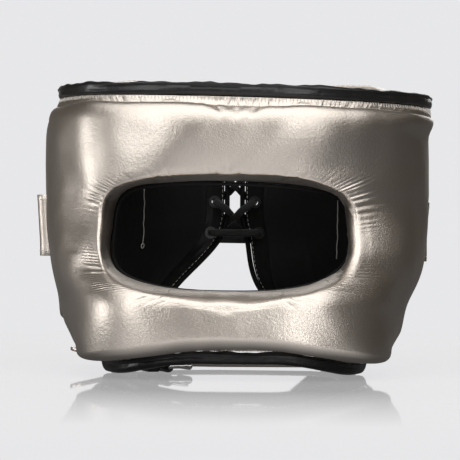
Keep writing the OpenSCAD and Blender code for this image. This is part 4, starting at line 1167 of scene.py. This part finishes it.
def flat_lace(name, path, way, width, t):
    """A woven flat lace that narrows where it goes through the leather, which is along the direction way."""
    path = smooth_path(path, 9)
    way = np.array([way(p) for p in path])
    ahead = np.gradient(path, axis=0)
    ahead /= np.linalg.norm(ahead, axis=1, keepdims=True)
    through = np.abs((ahead * way).sum(1))
    wide = width / 2 * (1 - 0.38 * np.clip(through * 1.3 - 0.25, 0, 1))
    side = np.cross(ahead, way)
    for k in range(1, len(side)):
        if through[k] > 0.85 or side[k].dot(side[k - 1]) < 0:
            side[k] = side[k - 1] if through[k] > 0.85 else -side[k]
    side = softened(side[:, None], 3, False)[:, 0]
    return tube(name, path, 1, 12, flat=(wide, np.full(len(path), t / 2), side))


def bow(name, at, facing, span):
    """A tied knot with two loops and two ends, lying on the leather that faces the direction given."""
    up = UP if abs(facing[2]) < 0.5 else BACKWARD
    right = np.cross(up, facing)
    put = lambda a, b, c: np.asarray(at) + right * a + up * b + np.asarray(facing) * c
    way = lambda p: np.asarray(facing, float)
    parts = []
    for s in (-1, 1):
        loop = [put(0, 0, 0.6), put(s * span * 0.35, 2.2, 1.2), put(s * span * 0.8, 3.4, 0.5), put(s * span, 0.2, 0.2),
                put(s * span * 0.8, -3.0, 0.2), put(s * span * 0.35, -1.6, 0.5), put(0, 0, 0.6)]
        parts.append(flat_lace(f"{name}_loop", loop, way, 4.6, 1.1))
        tail = [put(0, 0, 0.4), put(s * span * 0.3, -4, 0.5), put(s * span * 0.42, -9, 0.1),
                put(s * span * 0.6, -14.5, 0.0)]
        parts.append(flat_lace(f"{name}_end", tail, way, 4.2, 1.1))
    wrap = [put(0.9 * cos(a), 2.9 * cos(a) * 0.2 + 2.6 * sin(a), 1.3 + 1.3 * cos(a)) for a in range(0, 360, 24)]
    parts.append(tube(f"{name}_knot", np.array(wrap), 1.25, 10, closed=True))
    return parts


def joined(name, parts):
    bpy.ops.object.select_all(action="DESELECT")
    for part in parts:
        part.select_set(True)
    bpy.context.view_layer.objects.active = parts[0]
    bpy.ops.object.join()
    parts[0].name = parts[0].data.name = name
    return parts[0]


def lacing():
    def radial(p):
        way = (np.asarray(p) - [0, EAR_Y, 0]) * [1, 1, 0]
        return way / np.linalg.norm(way)

    left, right = rear_strand(-1), rear_strand(1)
    parts = [flat_lace("lace_run", np.array(left[::-1] + right[1:]), radial, *LACE_SIZE)]
    z = eyelet_z(3) + 5.5
    parts += bow("rear_bow", lay(180, z, STRIP_MID + EDGE_R + GAP + LACE_R + 2.1), BACKWARD, 12)
    lace = joined("rear_lacing", parts)
    dress(lace, LACE)
    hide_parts("rear_lace")


# The crown's two laced wings
WING_MARKS = [(1, 1.2 - RIM_H), (0.94, -1.6), (0.84, 1.4), (0.6, 0.4), (0.32, -6), (0.1, -6)]
WING_REACH, WING_T, WING_STEP = CAVITY_W + 24, 4.5, 21
WING_EYELET_X, WING_EYELET_Z = WING_REACH * 0.165, RIM_TOP - 6 + WING_T / 2


def wing_eyelet(i):
    return EAR_Y + 13 + WING_STEP * (i - 1)


def wing(side, name):
    """Half of the laced crown; gives back its stitch lines."""
    marks = smooth_path([(m[0], m[1], 0) for m in WING_MARKS], 8)
    marks[:, 0] = np.clip(marks[:, 0], 0.1, 1.0)
    grid = []
    for k in range(65):
        t = k / 64
        bend = abs(2 * t - 1) ** 3
        row = []
        for m in marks:
            x = WING_REACH * m[0]
            front, back = EAR_Y + lerp(-24, -44, x / WING_REACH), EAR_Y + lerp(52, 62, x / WING_REACH)
            lower = (1.0 if side > 0 else 3.4) * near(m[0], 0.8, 0.14)
            row.append((side * (x - 22 * bend * max(0, m[0] - 0.5)), lerp(front, back, t),
                        RIM_TOP + m[1] + WING_T / 2 - lower - (1.4 * bend * (1 - m[0]) if m[0] > 0.5 else 0)))
        grid.append(row)
    grid = np.array(grid)
    piece = laid(f"crown_wing_leather_{name}", settled(grid))
    thick(piece, WING_T, 1.6, 4)
    holes = [((side * WING_EYELET_X, wing_eyelet(i), WING_EYELET_Z), (0, 0, 1)) for i in range(3)]
    pierced(piece, holes, EYELET_R + 0.8, 14)
    dress(piece, SILVER)
    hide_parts(f"crown_wing_{name}")
    inner = grid.copy()
    inner[..., 2] += WING_T / 2 - 0.05
    runs = [inner[2:-2, -3], inner[2, 14:-2], inner[-3, 14:-2]]
    return [(settled(r), np.tile(UP, (len(r), 1))) for r in runs]


def crown_lacing():
    off, edge = WING_T / 2 + 0.9 + GAP + LACE_R, WING_REACH * 0.1

    def leg(side, i, over):
        a, b = wing_eyelet(i), wing_eyelet(i + 1)
        x, z = WING_EYELET_X, WING_EYELET_Z
        return [(side * x, a, z), (side * x, a, z + off), (side * edge, lerp(a, b, 0.2), z + off),
                (0, (a + b) / 2, z + over * (LACE_R + 0.25)), (-side * edge, lerp(a, b, 0.8), z - off),
                (-side * x, b, z - off)]

    def strand(side):
        x, z = WING_EYELET_X, WING_EYELET_Z
        out = [(0, wing_eyelet(0), z - off - 0.6), (side * x, wing_eyelet(0), z - off)]
        for i in range(2):
            out += leg(side * (1 if i % 2 == 0 else -1), i, side)
        y = wing_eyelet(2)
        return out + [(side * x, y, z), (side * x, y, z + off), (side * 3, y + 6, z + off)]

    parts = [flat_lace("crown_run", np.array(strand(-1)[::-1] + strand(1)[1:]), lambda p: UP, *LACE_SIZE)]
    parts += bow("crown_bow", (0, wing_eyelet(2) + 7, WING_EYELET_Z + off), UP, 11)
    lace = joined("crown_lacing", parts)
    dress(lace, LACE)
    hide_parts("crown_lace")


# The wrap strap, its keeper and the closure tab
ANCHOR, FOLD_START, RING_ANGLE, LOOP_R, RING_HALF, TAB_END = 133, 116, 152, 1.5 + 0.3 + STRAP_T / 2, 5, 188


def strap_half(th):
    return lerp(STRAP_H, TONGUE_H, ease((fold_angle(th) - 142) / 24)) / 2


def strap_point(th, off, z):
    x, y, _ = lay(th, STRAP_Z, pad_h(th, STRAP_Z + STRAP_H / 2) + off)
    return np.array([x, y, z])


PER_DEGREE = np.linalg.norm(strap_point(RING_ANGLE + 0.5, STRAP_OFF, 0) - strap_point(RING_ANGLE - 0.5, STRAP_OFF, 0))
POST_ANGLE = RING_HALF / PER_DEGREE


def strap_rows(side, fold, stop, steps):
    """Places along a strap from its sewn end, over the fold and round the back: angle, distance off the padding."""
    fold_r = (fold - 2) / 2
    rows = [(side * th, 2.0) for th in np.arange(ANCHOR, FOLD_START, -1.2)]
    rows += [(side * (FOLD_START - 2.6 * cos(a)), 2 + fold_r + fold_r * sin(a)) for a in range(-80, 91, 10)]
    return rows + [(side * th, lerp(fold, STRAP_OFF, ease((fold_angle(th) - FOLD_START) / 30)))
                   for th in np.linspace(FOLD_START, stop, steps)[1:]]


def band(name, rows, shift, t, material, body="shell", half=None, lean=True, wave=0.15, edge=0.35):
    """A leather band that stands on edge along rows of (angle, distance), moved out by shift."""
    mid = np.array([strap_point(a, o, STRAP_Z) for a, o in rows])
    ahead = np.gradient(mid, axis=0)
    ahead /= np.linalg.norm(ahead, axis=1, keepdims=True)
    side = np.stack([ahead[:, 1], -ahead[:, 0], np.zeros(len(mid))], 1)
    grid = []
    for k, (a, o) in enumerate(rows):
        h = half if half else strap_half(a)
        tuck = outward(a, STRAP_Z) * (3 * (1 - ease((fold_angle(a) - 128) / 22)) if lean and o > 2.5 else 0)
        column = []
        for c in range(13):
            q = c / 12
            bend = wave * wander(k / 5, c / 4, 1.7)
            column.append(mid[k] + side[k] * (shift + bend) + np.array([0, 0, h * (1 - 2 * q)]) - tuck * q)
        grid.append(column)
    grid = np.array(grid)
    piece = laid(name, settled(grid, True))
    thick(piece, t, edge)
    return dress(piece, material, body), grid, side


def leather_loop(name, post, half, material, body):
    """The leather turned round one post of the ring."""
    centre = strap_point(RING_ANGLE, STRAP_OFF + LOOP_R, STRAP_Z)
    up = outward(RING_ANGLE, STRAP_Z)
    ahead = np.array([-up[1], up[0], 0])
    c = centre + ahead * post
    rings = []
    for a in range(0, 360, 10):
        way = up * cos(a) + ahead * sin(a)
        rings.append([c + way * LOOP_R + np.array([0, 0, half * (1 - q / 3)]) for q in range(7)])
    piece = laid(name, np.array(rings + rings[:1]), False, False)
    merged(piece)
    thick(piece, STRAP_T - 0.4, 0.3)
    return dress(piece, material, body)


def edge_runs(grid, side, shift):
    """Stitch lines a little in from a band's two edges and across its ends, on the side it is moved to."""
    lift = side * shift
    inner = lambda c: settled(grid[3:-3, c] + lift[3:-3], True)
    n = side * np.sign(shift)
    out = [(inner(1), n[3:-3]), (inner(-2), n[3:-3])]
    for k in (4, -5):
        out.append((settled(grid[k, 1:-1] + lift[k], True), np.tile(n[k], (11, 1))))
    return out


def straps():
    """The wrap strap, ring keeper and closure tab, each in silver leather backed with black."""
    runs = []
    wrap = strap_rows(-1, 17, 360 - RING_ANGLE - POST_ANGLE - 2.2, 110)
    face, grid, side = band("wrap_strap_face", wrap, -0.45, 1.3, SILVER)
    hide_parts("wrap_strap")
    band("wrap_strap_backing", wrap, 0.65, 0.8, BLACK)
    runs += edge_runs(grid, side, -0.75)
    keeper = strap_rows(1, 11, RING_ANGLE - POST_ANGLE - 0.9, 40)
    face, grid, side = band("ring_keeper_face", keeper, 0.45, 1.3, SILVER)
    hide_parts("ring_keeper")
    band("ring_keeper_backing", keeper, -0.65, 0.8, BLACK)
    runs += edge_runs(grid, side, 0.75)
    leather_loop("ring_keeper_loop", -RING_HALF, TONGUE_H / 2, SILVER, "shell")
    tab = [(th, STRAP_OFF + 2 * LOOP_R) for th in np.linspace(RING_ANGLE + POST_ANGLE + 0.6, TAB_END, 50)]
    face, grid, side = band("closure_tab_face", tab, 0.45, 1.3, SILVER, "tab", TONGUE_H / 2, False)
    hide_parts("closure_tab")
    band("closure_tab_backing", tab, -0.65, 0.8, BLACK, "tab", TONGUE_H / 2, False)
    leather_loop("closure_tab_loop", RING_HALF, TONGUE_H / 2 - 0.5, SILVER, "tab")
    patch_t = (2 * LOOP_R - STRAP_T - 0.45) / 2
    for name, stop, off, material, body in (
            ("loop_patch", TAB_END + 6, STRAP_OFF + STRAP_T / 2 + 0.15 + patch_t / 2, LOOP_PILE, "shell"),
            ("hook_patch", TAB_END - 3, STRAP_OFF + 2 * LOOP_R - STRAP_T / 2 - 0.15 - patch_t / 2, HOOK_PILE, "tab")):
        strip = [(th, off) for th in np.linspace(RING_ANGLE + 6.5, stop, 44)]
        piece, _, _ = band(f"{name}_pile", strip, 0, patch_t, material, body,
                           TONGUE_H / 2 - 2, False, 0.1, 0.45)
        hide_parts(name)
    stitches("strap_stitches", runs, SILVER_THREAD)
    stitches("tab_stitches", edge_runs(grid, side, 0.75), SILVER_THREAD, "tab")


def eased(node, name, width, material, body):
    """A finer copy of a solid: its doubles merged, its edges rounded as cut leather is."""
    piece = nodes[node].copy()
    piece.data = nodes[node].data.copy()
    piece.name = piece.data.name = name
    bpy.context.scene.collection.objects.link(piece)
    merged(piece, lambda: bpy.ops.mesh.dissolve_limited(angle_limit=math.radians(1.5)))
    worked(piece, "BEVEL", width=width * MM, segments=2, limit_method="ANGLE", angle_limit=math.radians(35))
    smooth_by_angle(piece, 35)
    dress(piece, material, body)
    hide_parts(node)


def chin_straps():
    eased("tongue_strap", "tongue_leather", 0.35, SILVER, "tongue")
    eased("buckle_strap", "buckle_leather_strap", 0.3, BLACK, "buckle_leather")
    eased("strap_keeper", "keeper_loop", 0.35, BLACK, "buckle_leather")


def seams():
    """The stitches of the mask and rear halves, laid on the finished leather."""
    skin = mask_p[:, :mask_rows]
    n = outward_normals(skin, True)
    place = np.array(mask_cols)
    flange = mask_rows - MASK_ROWS[3] - 1
    top, bottom = (place >= TOP_START) & (place <= LEFT_START), place >= LOW_START
    sides = [place < TOP_START, (place >= LEFT_START) & (place < LOW_START)]
    base, ticks = [], []
    for part in (top, bottom):
        base.append((skin[part, flange], n[part, flange]))
        ticks.append((skin[part, -3], n[part, -3]))
    stitches("flange_stitches", base, SILVER_THREAD, pitch=2.9, length=2.1, r=0.26)
    stitches("rim_stitches", ticks, SILVER_THREAD, pitch=2.3, length=3.0, r=0.3, across=True, seed=3.0)
    stitches("seam_stitches", [(skin[part, flange - 1], n[part, flange - 1]) for part in sides], SILVER_THREAD)
    runs = []
    for p in (left_p, right_p):
        half = p[:, :rear_rows]
        m = outward_normals(half, False)
        for line in ((slice(2, -2), 4), (slice(2, -2), -5), (5, slice(4, -4)), (-4, slice(4, -4))):
            runs.append((half[line], m[line]))
    stitches("rear_stitches", runs, SILVER_THREAD)


def loose_threads():
    """Thread ends that show: two inside at the rear seams, and a tuft under the bar."""
    wall = lambda th, z, h=-0.7: settled(np.array(lay(th, z, h)))
    parts = []
    for side, th, high, low in ((-1, 141.5, 119, 80), (1, 133.0, 115, 72)):
        line = [wall(side * (th + 0.5 * wander(z / 7, side, 3)), z) for z in np.linspace(high, low, 40)]
        parts.append(tube("inner_thread", np.array(line), 0.32, 6))
        z = low - 1 if side < 0 else high + 1
        knot = [wall(side * (th + 1.0 * cos(a)), z + 1.6 * sin(a), -1.0) for a in range(0, 360, 30)]
        parts.append(tube("inner_thread", np.array(knot), 0.4, 6, closed=True))
    threads = joined("inner_threads", parts)
    dress(threads, SILVER_THREAD)
    parts = []
    for k in range(4):
        root = np.array(lay(-6.2 + 0.5 * k, cover_low(-6) - 0.4, BOTTOM_END + 1.3))
        tip = root + np.array([-1.0 + 0.9 * k, -1.6, 4.6 - abs(k - 1.4)])
        bendy = [lerp(root, tip, t) + np.array([0.5 * math.sin(3 * t + k), -0.6 * math.sin(math.pi * t), 0])
                 for t in np.linspace(0, 1, 9)]
        parts.append(tube("tuft", settled(np.array(bendy)), 0.22, 6))
    tuft = joined("thread_tuft", parts)
    dress(tuft, BLACK_THREAD)


mask_p, mask_rows, mask_cols = face_mask()
left_p, rear_rows = rear_half(-1, "left")
right_p = rear_half(1, "right")[0]
mask_lining()
strip_runs = []
for side, name in ((-1, "left"), (1, "right")):
    rear_lining(side, name)
    ear_sleeve(side, name)
    strip_runs += lace_strip(side, name)
folded_rim("top_rim_binding", "top_binding", 176.0, top_z, -RIM_H, top_section, 1.3)
folded_rim("bottom_rim_binding", "bottom_binding", strip_free(0) - 0.6, bottom_z, 0, bottom_section, 5.9)
gusset()
window_edge()
lacing()
wing_runs = wing(-1, "left") + wing(1, "right")
crown_lacing()
straps()
chin_straps()
seams()
stitches("strip_stitches", strip_runs, SILVER_THREAD, pitch=3.3, length=2.3, r=0.26)
stitches("wing_stitches", wing_runs, SILVER_THREAD)
loose_threads()

# The solids that no finer piece replaces get the finish of their own material
for name, material in {
    "bar_stiffener": SHEET, "rear_eyelets": ENAMEL, "crown_eyelets": ENAMEL, "closure_ring": STEEL, "chin_studs": STEEL,
    "buckle_frame": STEEL, "buckle_prong": STEEL, "buckle_roller": STEEL,
}.items():
    nodes[name].data.materials.clear()
    nodes[name].data.materials.append(material)

# Floor, light and camera
BACKDROP = (0.80, 0.80, 0.815)
SURROUNDINGS = 0.32
LAMPS_AIM = (0, 0, 0.1)
CAMERA_AT, CAMERA_ROLL, CAMERA_LENS = (-0.0033, -1.594, 0.091), -0.5, 187.8


def floor_material():
    """A pale gloss floor: the backdrop's colour to the camera, with the object's shadow and reflection in it."""
    f = Finish("pale gloss floor", (0.80, 0.80, 0.81), 0.6)
    tree = f.tree
    ray = f.node("ShaderNodeLightPath")
    glow = f.node("ShaderNodeEmission", Color=(*BACKDROP, 1), Strength=1.0)
    gloss = f.node("ShaderNodeBsdfGlossy", Color=(1, 1, 1, 1), Roughness=0.035)
    grazing = f.out(f.node("ShaderNodeFresnel", IOR=1.15))
    far = f.out(f.node("ShaderNodeVectorMath", {"operation": "LENGTH"}, i0=f.place()), 1)
    lit = ((0.62 - far) * 2.4).clamped() * 0.2

    def blend(factor, a, b):
        mixed = f.node("ShaderNodeMixShader")
        tree.links.new(factor, mixed.inputs[0])
        tree.links.new(a, mixed.inputs[1])
        tree.links.new(b, mixed.inputs[2])
        return mixed.outputs[0]

    body = blend(lit.socket, glow.outputs[0], f.shader.outputs[0])
    wet = blend((grazing * 0.9 * ((0.48 - far) * 4.0).clamped()).socket, body, gloss.outputs[0])
    # in the leather's gloss the floor is the pale backdrop in front of the object and dim beside it
    x, y, _ = f.axes()
    front = ((-0.115 - y) * 12.0).clamped() * ((0.30 - x.absolute()) * 6.0).clamped()
    card = f.node("ShaderNodeEmission", Color=(*BACKDROP, 1), Strength=front + 0.1)
    seen = blend(ray.outputs["Is Glossy Ray"], f.shader.outputs[0], card.outputs[0])
    tree.links.new(blend(ray.outputs["Is Camera Ray"], seen, wet), tree.nodes["Material Output"].inputs[0])
    return f.material


bpy.ops.object.select_all(action="DESELECT")
bpy.ops.mesh.primitive_plane_add(size=12, location=(0, 0, -0.0006))
floor = bpy.context.object
floor.name = "floor"
floor.data.materials.append(floor_material())


def studio_world():
    """Dim surroundings with the pale backdrop behind the object; the camera sees the backdrop's colour everywhere."""
    world = bpy.data.worlds.new("studio")
    bpy.context.scene.world = world
    world.use_nodes = True
    tree = world.node_tree
    tree.nodes.remove(tree.nodes["Background"])

    def node(kind, settings=None, links=()):
        made = tree.nodes.new(kind)
        for key, value in (settings or {}).items():
            setattr(made, key, value)
        for k, value in links:
            if isinstance(value, (int, float, tuple)):
                made.inputs[k].default_value = value
            else:
                tree.links.new(value.socket if isinstance(value, Value) else value, made.inputs[k])
        return made

    ray = node("ShaderNodeLightPath")
    way = node("ShaderNodeSeparateXYZ", links=[(0, node("ShaderNodeTexCoord").outputs["Generated"])])
    value = lambda socket: Value(tree, socket)
    behind = ((value(way.outputs[1]) - 0.93) * 16.0).clamped()
    level = value(way.outputs[2])
    behind = behind * ((0.62 - level) * 5.0).clamped()
    mirror = value(ray.outputs["Is Glossy Ray"]) + value(ray.outputs["Is Transmission Ray"])
    shown = (value(ray.outputs["Is Camera Ray"]) + mirror * behind).clamped()
    soft = (1.0 - mirror * 0.85).clamped()
    dim = node("ShaderNodeBackground", links=[(0, (0.95, 0.82, 0.66, 1)), (1, soft * SURROUNDINGS)])
    pale = node("ShaderNodeBackground", links=[(0, (*BACKDROP, 1)), (1, 1.0)])
    pick = node("ShaderNodeMixShader", links=[(0, shown), (1, dim.outputs[0]), (2, pale.outputs[0])])
    tree.links.new(pick.outputs[0], tree.nodes["World Output"].inputs[0])


studio_world()


def softbox(name, at, size, power):
    """A soft rectangular lamp aimed at the object, which the camera itself doesn't see."""
    light = bpy.data.lights.new(name, "AREA")
    light.shape = "RECTANGLE"
    light.size, light.size_y = size
    light.energy = power
    obj = bpy.data.objects.new(name, light)
    obj.location = at
    obj.rotation_euler = (Vector(LAMPS_AIM) - Vector(at)).to_track_quat("-Z", "Y").to_euler()
    obj.visible_camera = False
    bpy.context.scene.collection.objects.link(obj)


softbox("front left", (-1.06, -1.2, 0.45), (0.5, 0.85), 4.4)
softbox("front right", (0.62, -1.48, 0.42), (0.36, 0.85), 4.2)
softbox("left", (-1.5, -0.05, 0.13), (0.55, 0.2), 3.0)
softbox("rear", (0.25, 1.5, 0.7), (1.3, 0.8), 6)
softbox("overhead", (0.0, -0.72, 1.2), (3.0, 1.35), 25)

camera = bpy.data.cameras.new("camera")
camera.lens = CAMERA_LENS
camera.sensor_width = 36
camera_obj = bpy.data.objects.new("camera", camera)
camera_obj.location = CAMERA_AT
camera_obj.rotation_euler = (math.radians(90), math.radians(CAMERA_ROLL), 0)
bpy.context.scene.collection.objects.link(camera_obj)
bpy.context.scene.camera = camera_obj

bpy.context.scene.view_settings.view_transform = "Standard"
